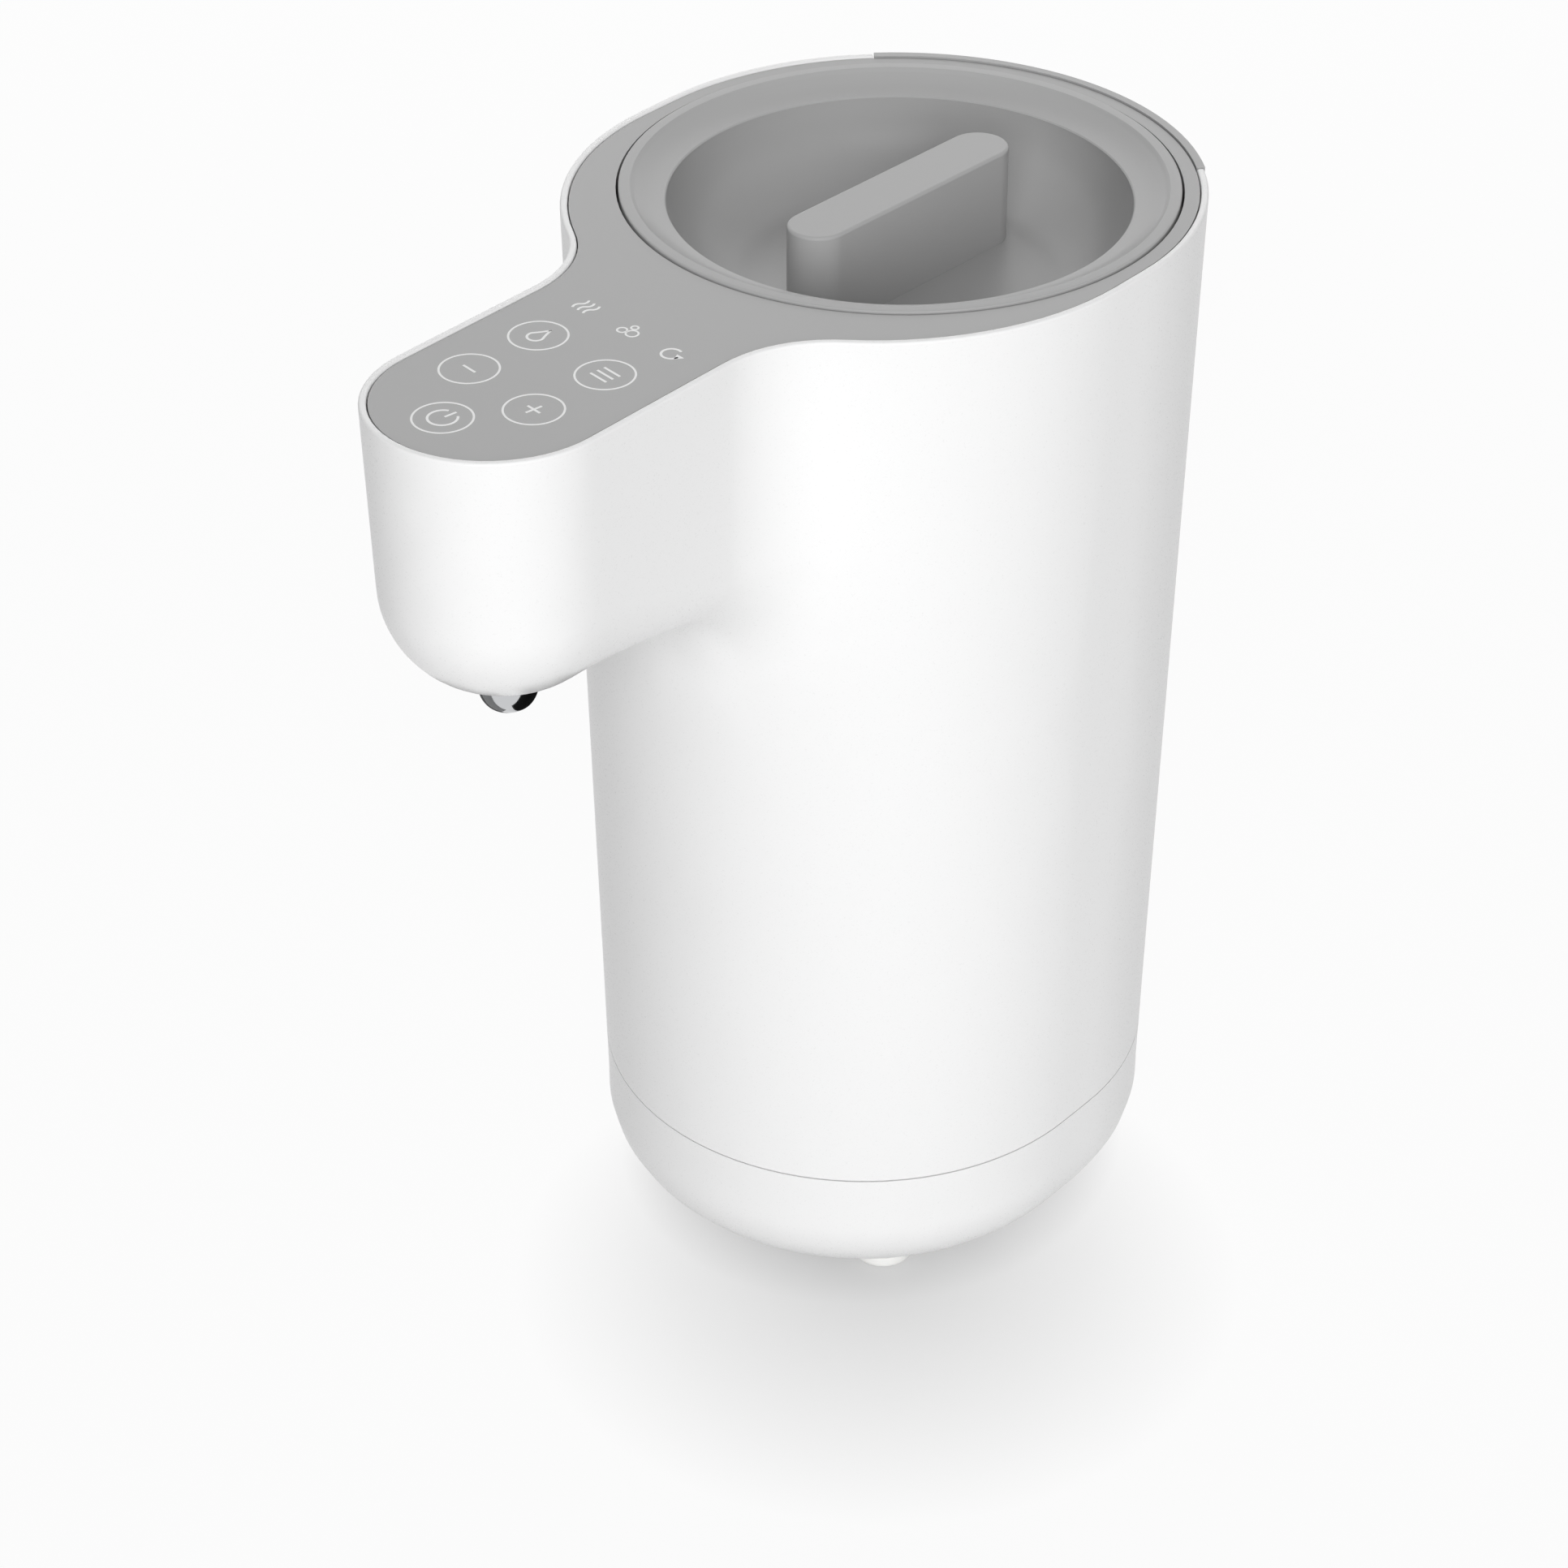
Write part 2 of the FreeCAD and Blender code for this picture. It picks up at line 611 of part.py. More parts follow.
def keyhole(z, inset):
    """The outline of the machine's top, set in from its outer edge."""
    r = BODY_RADIUS - inset
    w = ARM_HALF_WIDTH - inset
    neck = NECK_ROUND + inset
    neck_x = w + neck
    neck_y = FRONT_Y - math.sqrt((r + neck) ** 2 - neck_x**2)
    touch_x = neck_x * r / (r + neck)
    touch_y = FRONT_Y + (neck_y - FRONT_Y) * r / (r + neck)
    away = math.atan2(touch_y - neck_y, touch_x - neck_x)
    side = math.pi
    middle = (away + side) / 2
    bend_x = neck_x + neck * math.cos(middle)
    bend_y = neck_y + neck * math.sin(middle)
    slant = math.atan2(touch_y - FRONT_Y, touch_x)
    front_x = r * math.cos(slant / 2)
    front_y = FRONT_Y + r * math.sin(slant / 2)
    edges = [
        arc(Vector(r, LID_Y, z), Vector(0, LID_Y + r, z), Vector(-r, LID_Y, z)),
        line(Vector(-r, LID_Y, z), Vector(-r, FRONT_Y, z)),
        arc(Vector(-r, FRONT_Y, z), Vector(-front_x, front_y, z), Vector(-touch_x, touch_y, z)),
        arc(Vector(-touch_x, touch_y, z), Vector(-bend_x, bend_y, z), Vector(-w, neck_y, z)),
        line(Vector(-w, neck_y, z), Vector(-w, ARM_TIP_Y, z)),
        arc(Vector(-w, ARM_TIP_Y, z), Vector(0, ARM_TIP_Y - w, z), Vector(w, ARM_TIP_Y, z)),
        line(Vector(w, ARM_TIP_Y, z), Vector(w, neck_y, z)),
        arc(Vector(w, neck_y, z), Vector(bend_x, bend_y, z), Vector(touch_x, touch_y, z)),
        arc(Vector(touch_x, touch_y, z), Vector(front_x, front_y, z), Vector(r, FRONT_Y, z)),
        line(Vector(r, FRONT_Y, z), Vector(r, LID_Y, z)),
    ]
    return Part.Wire(edges)


def wall_clip(x, y, z, radius):
    """A clip on the front wall that holds an upright tube or lead."""
    block = box(x - radius - CLIP_SIDE, x + radius + CLIP_SIDE, y - CLIP_REACH, y + radius / 4,
                z, z + CLIP_HEIGHT)
    block = block.common(oval_solid(z - 1, z + CLIP_HEIGHT + 1, WALL - 0.3))
    return block.cut(cylinder(x, y, z - 1, z + CLIP_HEIGHT + 1, radius + FIT))


def make_housing():
    shell = housing_form(SEAM_Z, 0.0).cut(housing_form(SEAM_Z - 1, WALL))
    seat_low = PANEL_BOTTOM_Z - SEAT_THICKNESS
    seat = prism(keyhole(seat_low, WALL - 0.3), SEAT_THICKNESS)
    seat = seat.cut(prism(keyhole(seat_low - 1, SEAT_INSET), SEAT_THICKNESS + 2))
    shell = shell.cut(prism(keyhole(PANEL_BOTTOM_Z, RIM_WALL), RIM_Z))
    shell = shell.fuse(seat)
    rabbet = oval_solid(SEAM_Z - 1, SEAM_Z + RABBET_HEIGHT, WALL / 2)
    shell = shell.cut(rabbet)
    posts = []
    for x, y in POSTS:
        side = math.copysign(1, x)
        posts.append(cylinder(x, y, SEAM_Z + 0.2, POST_TOP_Z, POST_RADIUS))
        wall_x = side * (body_radius(SEAM_Z) - WALL + 0.8)
        posts.append(box(min(x, wall_x), max(x, wall_x), y - POST_RIB_HALF, y + POST_RIB_HALF,
                         SEAM_Z + POST_RIB_RISE, POST_TOP_Z))
    clips = [wall_clip(RISER_X, RISER_Y, z, NIPPLE_RADIUS) for z in RISER_CLIPS]
    clips.append(wall_clip(LEAD_X, LEAD_Y, LEAD_CLIP_Z, LEAD_RADIUS))
    boss = cylinder(0, ARM_TIP_Y, ARM_FLOOR_Z + WALL / 2, NOZZLE_SEAL_Z, NOZZLE_BOSS_RADIUS)
    shell = fuse_all([shell, boss] + posts + clips)
    bores = [cylinder(x, y, SEAM_Z - 1, POST_TOP_Z + 1, SCREW_RADIUS + FIT) for x, y in POSTS]
    shell = cut_all(shell, bores)
    opening = sector(COVER_LOW_Z, RIM_Z + 1, BODY_RADIUS - 8, BODY_RADIUS + 2, COVER_HALF_ANGLE)
    back_wall = oval_solid(COVER_LOW_Z - LIP_WIDTH, RIM_Z, WALL - 0.2)
    lip = back_wall.cut(oval_solid(COVER_LOW_Z - 10, RIM_Z + 1, WALL + LIP_THICKNESS))
    lip_angle = math.degrees(LIP_WIDTH / BODY_RADIUS)
    lip_ring = sector(COVER_LOW_Z - LIP_WIDTH, PANEL_BOTTOM_Z, BODY_RADIUS - 12, BODY_RADIUS,
                      COVER_HALF_ANGLE + lip_angle)
    window = sector(COVER_LOW_Z + LIP_WIDTH, PANEL_BOTTOM_Z - LIP_WIDTH, BODY_RADIUS - 14,
                    BODY_RADIUS + 2, COVER_HALF_ANGLE - lip_angle)
    lip = lip.common(lip_ring).cut(window)
    inlet_half = INLET_WIDTH / 2 + INLET_FLANGE + INLET_BLOCK + PANEL_GAP
    lip = lip.cut(box(-inlet_half, inlet_half, LID_Y, LID_Y + BODY_RADIUS, COVER_LOW_Z, INLET_Z))
    skin = oval_solid(SEAM_Z - 1, RIM_Z + 1, WALL)
    outside = opening.cut(skin)
    shell = shell.cut(outside).fuse(lip)
    shell = shell.cut(window)
    spot_z = ARM_FLOOR_Z + NOZZLE_SPOT
    shell = shell.cut(cylinder(0, ARM_TIP_Y, ARM_FLOOR_Z - 5, spot_z, NOZZLE_RADIUS + FIT))
    shell = shell.cut(cylinder(0, ARM_TIP_Y, ARM_FLOOR_Z - 5, NOZZLE_SEAL_Z + 1, NOZZLE_STEM + FIT))
    return shell.removeSplitter()


def base_form(inset, steps):
    """The base's form, set in by a wall: its underside rounds up into the sides in a quarter circle."""
    low = FOOT_HEIGHT + inset
    radius = BASE_ROUND - inset
    outlines = []
    for i in range(steps + 1):
        angle = math.pi / 2 * i / steps
        outlines.append(oval(low + radius * (1 - math.cos(angle)), inset + radius * (1 - math.sin(angle))))
    outlines.append(oval(SEAM_Z - SEAM_GAP, inset))
    return Part.makeLoft(outlines, True, True)


def fan_corners():
    return [(sx * FAN_HOLE_SPREAD, FAN_Y + sy * FAN_HOLE_SPREAD) for sx in (-1, 1) for sy in (-1, 1)]


def make_base_shell():
    outside = base_form(0.0, BASE_ROUND_STEPS)
    shell = outside.cut(base_form(WALL, BASE_ROUND_STEPS - 3))
    tongue_low = SEAM_Z - SEAM_GAP - TONGUE_ROOT
    tongue = oval_solid(tongue_low, SEAM_Z + TONGUE_HEIGHT, WALL / 2 + FIT)
    tongue = tongue.cut(oval_solid(tongue_low - 1, SEAM_Z + 4, WALL))
    head_seat = FLOOR_Z + BASE_SCREW_DEPTH
    within = outside.fuse(oval_solid(tongue_low, SEAM_Z + 1, WALL))
    posts = []
    bores = []
    for x, y in POSTS:
        posts.append(cylinder(x, y, FOOT_HEIGHT, SEAM_Z, POST_RADIUS).common(within))
        bores.append(cylinder(x, y, 0, SEAM_Z + 1, SCREW_RADIUS + FIT))
        bores.append(cylinder(x, y, 0, head_seat, SCREW_HEAD_RADIUS + HEAD_CLEARANCE))
    for x, y in fan_corners():
        posts.append(cylinder(x, y, FOOT_HEIGHT + 1, FAN_LOW_Z, FAN_POST_RADIUS).common(outside))
        bores.append(cylinder(x, y, FLOOR_Z, FAN_LOW_Z + 1, SCREW_RADIUS + FIT))
    rail_top = BOARD_LOW_Z + BOARD_HEIGHT * BOARD_RAIL_SHARE
    for sy in (-1, 1):
        y = MIDDLE_Y + sy * BOARD_LENGTH / 2
        posts.append(box(BOARD_X - BOARD_RAIL, BOARD_X + BOARD_THICKNESS + BOARD_RAIL,
                         y - BOARD_RAIL, y + BOARD_RAIL, FOOT_HEIGHT + 1, rail_top).common(outside))
    posts.append(cylinder(0, PUMP_Y, FOOT_HEIGHT + 1, PUMP_SEAT_Z, PUMP_RADIUS).common(outside))
    for x, y in FEET:
        posts.append(cylinder(x, y, FLOOR_Z - 1, FLOOR_Z + FOOT_POCKET,
                              FOOT_RADIUS + FOOT_BOSS_WALL).common(outside))
        bores.append(cylinder(x, y, 0, FOOT_HEIGHT + FOOT_POCKET, FOOT_RADIUS + FIT))
        bores.append(cylinder(x, y, 0, FLOOR_Z + FOOT_POCKET + 1, FOOT_STEM_RADIUS + FIT))
    slot_half = BOARD_LENGTH / 2 + FIT
    bores.append(box(BOARD_X - FIT, BOARD_X + BOARD_THICKNESS + FIT, MIDDLE_Y - slot_half,
                     MIDDLE_Y + slot_half, BOARD_LOW_Z, SEAM_Z + 20))
    slots = int(GRILLE_RADIUS / GRILLE_PITCH)
    for i in range(-slots, slots + 1):
        x = i * GRILLE_PITCH
        half = math.sqrt(GRILLE_RADIUS**2 - x**2)
        wire = stadium(GRILLE_SLOT / 2, half, GRILLE_SLOT / 2, 0, FAN_Y)
        wire.translate(Vector(x, 0, 0))
        bores.append(prism(wire, FLOOR_Z + 1))
    return cut_all(fuse_all([shell, tongue] + posts), bores)


def make_feet():
    feet = []
    for x, y in FEET:
        foot = turned(
            [
                (0, 0),
                (FOOT_RADIUS - 1.4, 0),
                (FOOT_RADIUS - 0.5, 0.6),
                (FOOT_RADIUS, 1.8),
                (FOOT_RADIUS, FOOT_HEIGHT + FOOT_POCKET),
                (FOOT_STEM_RADIUS, FOOT_HEIGHT + FOOT_POCKET),
                (FOOT_STEM_RADIUS, FLOOR_Z + FOOT_POCKET),
                (0, FLOOR_Z + FOOT_POCKET),
            ],
            x,
            y,
        )
        feet.append(foot)
    return group(feet)


def make_base_screws():
    seat = FLOOR_Z + BASE_SCREW_DEPTH
    return group([screw(x, y, seat, SEAM_Z + BASE_SCREW_REACH - seat) for x, y in POSTS])


def make_top_panel():
    plate = prism(keyhole(PANEL_BOTTOM_Z, RIM_WALL + PANEL_GAP), PANEL_THICKNESS)
    hole = LID_RADIUS + LID_GAP
    collar = turned(
        [
            (hole, PANEL_BOTTOM_Z + 1),
            (hole, LEDGE_Z),
            (THROAT_RADIUS, LEDGE_Z),
            (THROAT_RADIUS, THROAT_LOW_Z),
            (THROAT_RADIUS + THROAT_WALL, THROAT_LOW_Z),
            (THROAT_RADIUS + THROAT_WALL, LEDGE_Z - LEDGE_THICKNESS),
            (hole + COLLAR_WALL, LEDGE_Z - LEDGE_THICKNESS),
            (hole + COLLAR_WALL, PANEL_BOTTOM_Z + 1),
        ]
    )
    plate = plate.cut(cylinder(0, LID_Y, PANEL_BOTTOM_Z - 1, RIM_Z, hole))
    posts = [cylinder(x, y, TOUCH_BOARD_TOP_Z, PANEL_BOTTOM_Z + 0.5, TOUCH_POST_RADIUS)
             for x, y in TOUCH_POSTS]
    panel = fuse_all([plate, collar] + posts)
    bores = [cylinder(x, y, TOUCH_BOARD_TOP_Z - 1, PANEL_BOTTOM_Z - 0.2, SCREW_RADIUS + FIT)
             for x, y in TOUCH_POSTS]
    return cut_all(panel, bores)


def cover_shell(z0, z1, outer_inset, thickness, half_angle):
    ring = oval_solid(z0, z1, outer_inset).cut(oval_solid(z0 - 1, z1 + 1, outer_inset + thickness))
    return ring.common(sector(z0, z1, BODY_RADIUS - 20, BODY_RADIUS + 2, half_angle))


def make_rear_cover():
    gap_angle = math.degrees(PANEL_GAP / BODY_RADIUS)
    low = COVER_LOW_Z + PANEL_GAP
    cover = cover_shell(low, RIM_Z, -COVER_PROUD, COVER_THICKNESS, COVER_HALF_ANGLE - gap_angle)
    cover = cover.cut(prism(keyhole(PANEL_BOTTOM_Z - 0.2, RIM_WALL), RIM_Z))
    flange_half_width = INLET_WIDTH / 2 + INLET_FLANGE
    flange_half_height = INLET_HEIGHT / 2 + INLET_FLANGE
    block_half = flange_half_width + INLET_BLOCK
    block = box(-block_half, block_half, inlet_seat_y() - INLET_BLOCK, LID_Y + BODY_RADIUS,
                INLET_Z - flange_half_height - INLET_BLOCK_RISE,
                INLET_Z + flange_half_height + INLET_BLOCK_RISE)
    block = block.common(oval_solid(low, INLET_Z + 30, 0.0))
    cover = cover.fuse(block)
    pocket = box(-flange_half_width - FIT, flange_half_width + FIT, inlet_seat_y(), LID_Y + BODY_RADIUS + 5,
                 INLET_Z - flange_half_height - FIT, INLET_Z + flange_half_height + FIT)
    hole = box(-INLET_WIDTH / 2 - FIT, INLET_WIDTH / 2 + FIT, LID_Y, LID_Y + BODY_RADIUS + 5,
               INLET_Z - INLET_HEIGHT / 2 - FIT, INLET_Z + INLET_HEIGHT / 2 + FIT)
    vents = []
    for i in range(VENT_COUNT):
        z = VENT_LOW_Z + i * VENT_PITCH
        vents.append(sector(z, z + VENT_HEIGHT, BODY_RADIUS - 20, BODY_RADIUS + 5, VENT_HALF_ANGLE))
    return cut_all(cover, [pocket, hole] + vents).removeSplitter()


def inlet_seat_y():
    return LID_Y + body_radius(INLET_Z) - INLET_SEAT_DEPTH


def make_power_inlet():
    y = inlet_seat_y()
    flange_half_width = INLET_WIDTH / 2 + INLET_FLANGE
    flange_half_height = INLET_HEIGHT / 2 + INLET_FLANGE
    front = y + INLET_FLANGE_THICKNESS
    flange = box(-flange_half_width, flange_half_width, y, front,
                 INLET_Z - flange_half_height, INLET_Z + flange_half_height)
    body = box(-INLET_WIDTH / 2, INLET_WIDTH / 2, front - INLET_DEPTH, front,
               INLET_Z - INLET_HEIGHT / 2, INLET_Z + INLET_HEIGHT / 2)
    recess = []
    for sx in (-1, 1):
        start = Vector(sx * INLET_PITCH / 2, front + 1, INLET_Z)
        recess.append(rod(start, start - Vector(0, INLET_RECESS_DEPTH + 1, 0), INLET_LOBE))
    web = box(-INLET_PITCH / 2, INLET_PITCH / 2, front - INLET_RECESS_DEPTH, front + 1,
              INLET_Z - INLET_LOBE * 0.8, INLET_Z + INLET_LOBE * 0.8)
    inlet = fuse_all([flange, body])
    inlet = cut_all(inlet, recess + [web])
    pin_holes = [inlet_pin(sx, FIT) for sx in (-1, 1)]
    return cut_all(inlet, pin_holes)


def inlet_pin(sx, grow=0.0):
    y = inlet_seat_y()
    start = Vector(sx * INLET_PITCH / 2, y - 0.5, INLET_Z)
    end = Vector(sx * INLET_PITCH / 2, y - INLET_DEPTH - INLET_PIN_TAIL, INLET_Z)
    return rod(start, end, INLET_PIN_RADIUS + grow)


def make_inlet_pins():
    return group([inlet_pin(sx) for sx in (-1, 1)])


def bowl_points(wall):
    """The bowl's curve from its top edge down to its floor, moved outwards by a wall."""
    centre_z = PANEL_TOP_Z + CROWN_RISE - CROWN_STEP - SLOPE_DROP
    run = SLOPE_INNER_RADIUS - BOWL_FLOOR_RADIUS + wall
    fall = centre_z - BOWL_FLOOR_Z + wall
    angles = [math.pi / 2 * i / BOWL_STEPS for i in range(1, BOWL_STEPS + 1)]
    return [(BOWL_FLOOR_RADIUS + run * math.cos(a), centre_z - fall * math.sin(a)) for a in angles]


def slope_points(wall):
    """The hollow slope between the crown and the bowl, lowered by a wall."""
    outer = SLOPE_OUTER_RADIUS
    inner = SLOPE_INNER_RADIUS + wall
    top = PANEL_TOP_Z + CROWN_RISE - CROWN_STEP - wall
    fall = SLOPE_DROP * (outer - inner) / (outer - SLOPE_INNER_RADIUS)
    points = []
    for i in range(SLOPE_STEPS + 1):
        share = i / SLOPE_STEPS
        sag = SLOPE_SAG * math.sin(math.pi * share)
        points.append((outer + (inner - outer) * share, top - fall * share - sag))
    return points


def bar_form(inset, z0, z1):
    """The lid's bar, set in by a wall; the round lid sits with it a little off the long axis."""
    half_width = BAR_WIDTH / 2 - inset
    bar = prism(stadium(half_width, BAR_LENGTH / 2 - inset, half_width, z0), z1 - z0)
    bar.rotate(Vector(0, LID_Y, 0), Vector(0, 0, 1), BAR_TURN)
    return bar


def make_lid_cover():
    top = PANEL_TOP_Z + CROWN_RISE
    upper = [
        (LID_RADIUS, top - CROWN_EDGE),
        (LID_RADIUS - CROWN_EDGE, top),
        (LID_RADIUS - CROWN_WIDTH, top),
    ]
    upper += slope_points(0) + bowl_points(0) + [(0, BOWL_FLOOR_Z)]
    lower = slope_points(LID_WALL) + bowl_points(LID_WALL) + [(0, BOWL_FLOOR_Z - LID_WALL)]
    skirt = [
        (LID_RADIUS - LID_WALL, lower[0][1]),
        (LID_RADIUS - LID_WALL, LEDGE_Z),
        (LID_RADIUS, LEDGE_Z),
    ]
    dish = turned(list(reversed(lower)) + skirt + upper)
    bar_top = PANEL_TOP_Z - BAR_DROP
    bar = bar_form(0.0, BOWL_FLOOR_Z - LID_WALL / 2, bar_top)
    rim = [edge for edge in bar.Edges if min(v.Point.z for v in edge.Vertexes) > bar_top - 0.01]
    bar = bar.makeChamfer(BAR_EDGE, rim)
    middle = turned(bowl_points(LID_WALL / 2) + [(0, BOWL_FLOOR_Z - LID_WALL / 2), (0, RIM_Z),
                                                 (bowl_points(LID_WALL / 2)[0][0], RIM_Z)])
    bosses = [cylinder(x, y, lid_boss_z(), RIM_Z, LID_BOSS_RADIUS).cut(middle)
              for x, y in lid_screw_places()]
    bores = [cylinder(x, y, lid_boss_z() - 1, lid_boss_z() + LID_BOSS_BORE, SCREW_RADIUS + FIT)
             for x, y in lid_screw_places()]
    bores.append(bar_form(LID_WALL, BOWL_FLOOR_Z - LID_WALL - 1, bar_top - LID_WALL))
    return cut_all(fuse_all([dish, bar] + bosses), bores)


def lid_boss_z():
    return BOWL_FLOOR_Z - LID_WALL - LID_BOSS_DROP


def lid_screw_places():
    reach = LID_SCREW_RING / math.sqrt(2)
    return [(sx * reach, LID_Y + sy * reach) for sx in (-1, 1) for sy in (-1, 1)]


def make_lid_inner():
    floor_top = lid_boss_z()
    low = floor_top - PLUG_WALL
    radius = LINER_RADIUS - PLUG_CLEARANCE
    neck = THROAT_RADIUS - PLUG_NECK_CLEARANCE
    groove = neck - SEAL_GROOVE
    seal_z = THROAT_LOW_Z + SEAL_RISE
    step_z = THROAT_LOW_Z + SEAL_RISE / 4
    dish = turned(
        [
            (0, low),
            (radius, low),
            (radius, step_z),
            (neck, step_z),
            (neck, seal_z),
            (groove, seal_z),
            (groove, seal_z + SEAL_HEIGHT),
            (neck, seal_z + SEAL_HEIGHT),
            (neck, LEDGE_Z),
            (neck - PLUG_NECK_WALL, LEDGE_Z),
            (neck - PLUG_NECK_WALL, step_z),
            (radius - PLUG_WALL, step_z - 1),
            (radius - PLUG_WALL, floor_top),
            (0, floor_top),
        ]
    )
    bores = [cylinder(x, y, low - 1, floor_top + 1, SCREW_RADIUS + FIT) for x, y in lid_screw_places()]
    return cut_all(dish, bores)


def make_lid_seal():
    neck = THROAT_RADIUS - PLUG_NECK_CLEARANCE
    inner = neck - SEAL_GROOVE + FIT
    outer = THROAT_RADIUS - SEAL_CLEARANCE
    low = THROAT_LOW_Z + SEAL_RISE + FIT
    high = low + SEAL_HEIGHT - 2 * FIT
    return turned([(inner, low), (neck, low), (outer, (low + high) / 2), (neck, high), (inner, high)])


def make_lid_screws():
    seat = lid_boss_z() - PLUG_WALL
    return group([screw(x, y, seat, LID_SCREW_LENGTH) for x, y in lid_screw_places()])


def make_liner():
    low = LINER_BOTTOM_Z
    high = LINER_TOP_Z
    outer_radius = LINER_RADIUS + LINER_WALL
    corner = LINER_CORNER + LINER_WALL
    angles = [math.pi / 2 * i / LINER_CORNER_STEPS for i in range(LINER_CORNER_STEPS + 1)]
    outer = [(outer_radius - corner * (1 - math.sin(a)), low + corner * (1 - math.cos(a))) for a in angles]
    inner = [(LINER_RADIUS - LINER_CORNER * (1 - math.sin(a)),
              low + LINER_WALL + LINER_CORNER * (1 - math.cos(a))) for a in reversed(angles)]
    flange = [
        (outer_radius, high - LINER_WALL),
        (LINER_RADIUS + LINER_FLANGE, high - LINER_WALL),
        (LINER_RADIUS + LINER_FLANGE, high),
        (LINER_RADIUS, high),
    ]
    cup = turned([(0, low)] + outer + flange + inner + [(0, low + LINER_WALL)])
    port = cylinder(0, PUMP_Y, low - PORT_LENGTH, low + LINER_WALL / 2, PORT_RADIUS)
    bore = cylinder(0, PUMP_Y, low - PORT_LENGTH - 1, low + LINER_WALL + 1, PORT_RADIUS - LINER_WALL)
    return cup.fuse(port).cut(bore)


def make_liner_gasket():
    return tube(0, LID_Y, LINER_TOP_Z, THROAT_LOW_Z, LINER_RADIUS + LINER_FLANGE, LINER_RADIUS + 0.2)


def make_liner_cradle():
    ring_outer = LINER_RADIUS - LINER_CORNER - LINER_WALL
    ring_inner = ring_outer - CRADLE_RING_WIDTH
    flange_top = POST_TOP_Z + CRADLE_FLANGE
    ring = tube(0, LID_Y, POST_TOP_Z, LINER_BOTTOM_Z, ring_outer, ring_inner)
    flange = tube(0, LID_Y, POST_TOP_Z, flange_top, CRADLE_FLANGE_RADIUS, ring_inner)
    cradle = ring.fuse(flange).removeSplitter()
    slot_ring = (ring_outer + CRADLE_FLANGE_RADIUS) / 2
    slot = box(slot_ring - 3, slot_ring + 3, LID_Y - CRADLE_SLOT / 2, LID_Y + CRADLE_SLOT / 2,
               POST_TOP_Z - 1, flange_top + 1)
    pitch = 360 / CRADLE_SLOTS
    taken = [math.degrees(math.atan2(y - LID_Y, x)) for x, y in POSTS]
    angles = []
    for i in range(CRADLE_SLOTS):
        angle = (i + 0.5) * pitch - 180
        if min(abs(angle - other) for other in taken) > pitch / 2:
            angles.append(angle)
    cuts = spread(slot, angles)
    cuts.append(cylinder(0, PUMP_Y, POST_TOP_Z - 1, LINER_BOTTOM_Z + 1, HOSE_RADIUS + 1))
    cuts.append(cylinder(RISER_X, RISER_Y, POST_TOP_Z - 1, LINER_BOTTOM_Z + 1, HOSE_RADIUS + 1))
    cuts += [cylinder(x, y, POST_TOP_Z - 1, flange_top + 1, SCREW_RADIUS + FIT) for x, y in POSTS]
    return cut_all(cradle, cuts)


def make_cradle_screws():
    seat = POST_TOP_Z + CRADLE_FLANGE
    return group([screw(x, y, seat, CRADLE_SCREW_LENGTH, False) for x, y in POSTS])


def element_form(grow=0.0):
    """The heating element: most of a ring of many-sided section, half sunk in the plate."""
    radius = ELEMENT_RADIUS + grow
    corners = []
    for i in range(ELEMENT_SIDES):
        angle = 2 * math.pi * (i + 0.5) / ELEMENT_SIDES
        corners.append(Vector(ELEMENT_RING + radius * math.cos(angle), 0,
                              HEATER_LOW_Z + radius * math.sin(angle)))
    face = Part.Face(Part.makePolygon(corners + [corners[0]]))
    ring = face.revolve(Vector(0, 0, 0), Vector(0, 0, 1), 360 - 2 * ELEMENT_HALF_GAP + 2 * grow)
    ring.rotate(Vector(0, 0, 0), Vector(0, 0, 1), 180 + ELEMENT_HALF_GAP - grow)
    ring.translate(Vector(0, LID_Y, 0))
    return ring


def element_pins(radius, length):
    angle = math.radians(180 - ELEMENT_HALF_GAP - ELEMENT_PIN_ANGLE)
    x = ELEMENT_RING * math.cos(angle)
    y = ELEMENT_RING * math.sin(angle)
    return [cylinder(x, LID_Y + sy * y, HEATER_LOW_Z - length, HEATER_LOW_Z, radius) for sy in (-1, 1)]


def make_heater_plate():
    plate = cylinder(0, LID_Y, HEATER_LOW_Z, LINER_BOTTOM_Z, HEATER_RADIUS)
    return plate.cut(element_form(FIT))


def make_heating_element():
    return fuse_all([element_form()] + element_pins(PIN_RADIUS, PIN_LENGTH))


def make_heat_shield():
    low = HEATER_LOW_Z - SHIELD_DROP
    pan = cylinder(0, LID_Y, low, HEATER_LOW_Z, HEATER_RADIUS)
    pan = pan.cut(cylinder(0, LID_Y, low + SHIELD_SHEET, RIM_Z, HEATER_RADIUS - SHIELD_SHEET))
    pan = pan.cut(cylinder(0, LID_Y, low - 1, RIM_Z, THERMOSTAT_RADIUS + 1))
    return cut_all(pan, element_pins(PIN_RADIUS + 1, PIN_LENGTH))


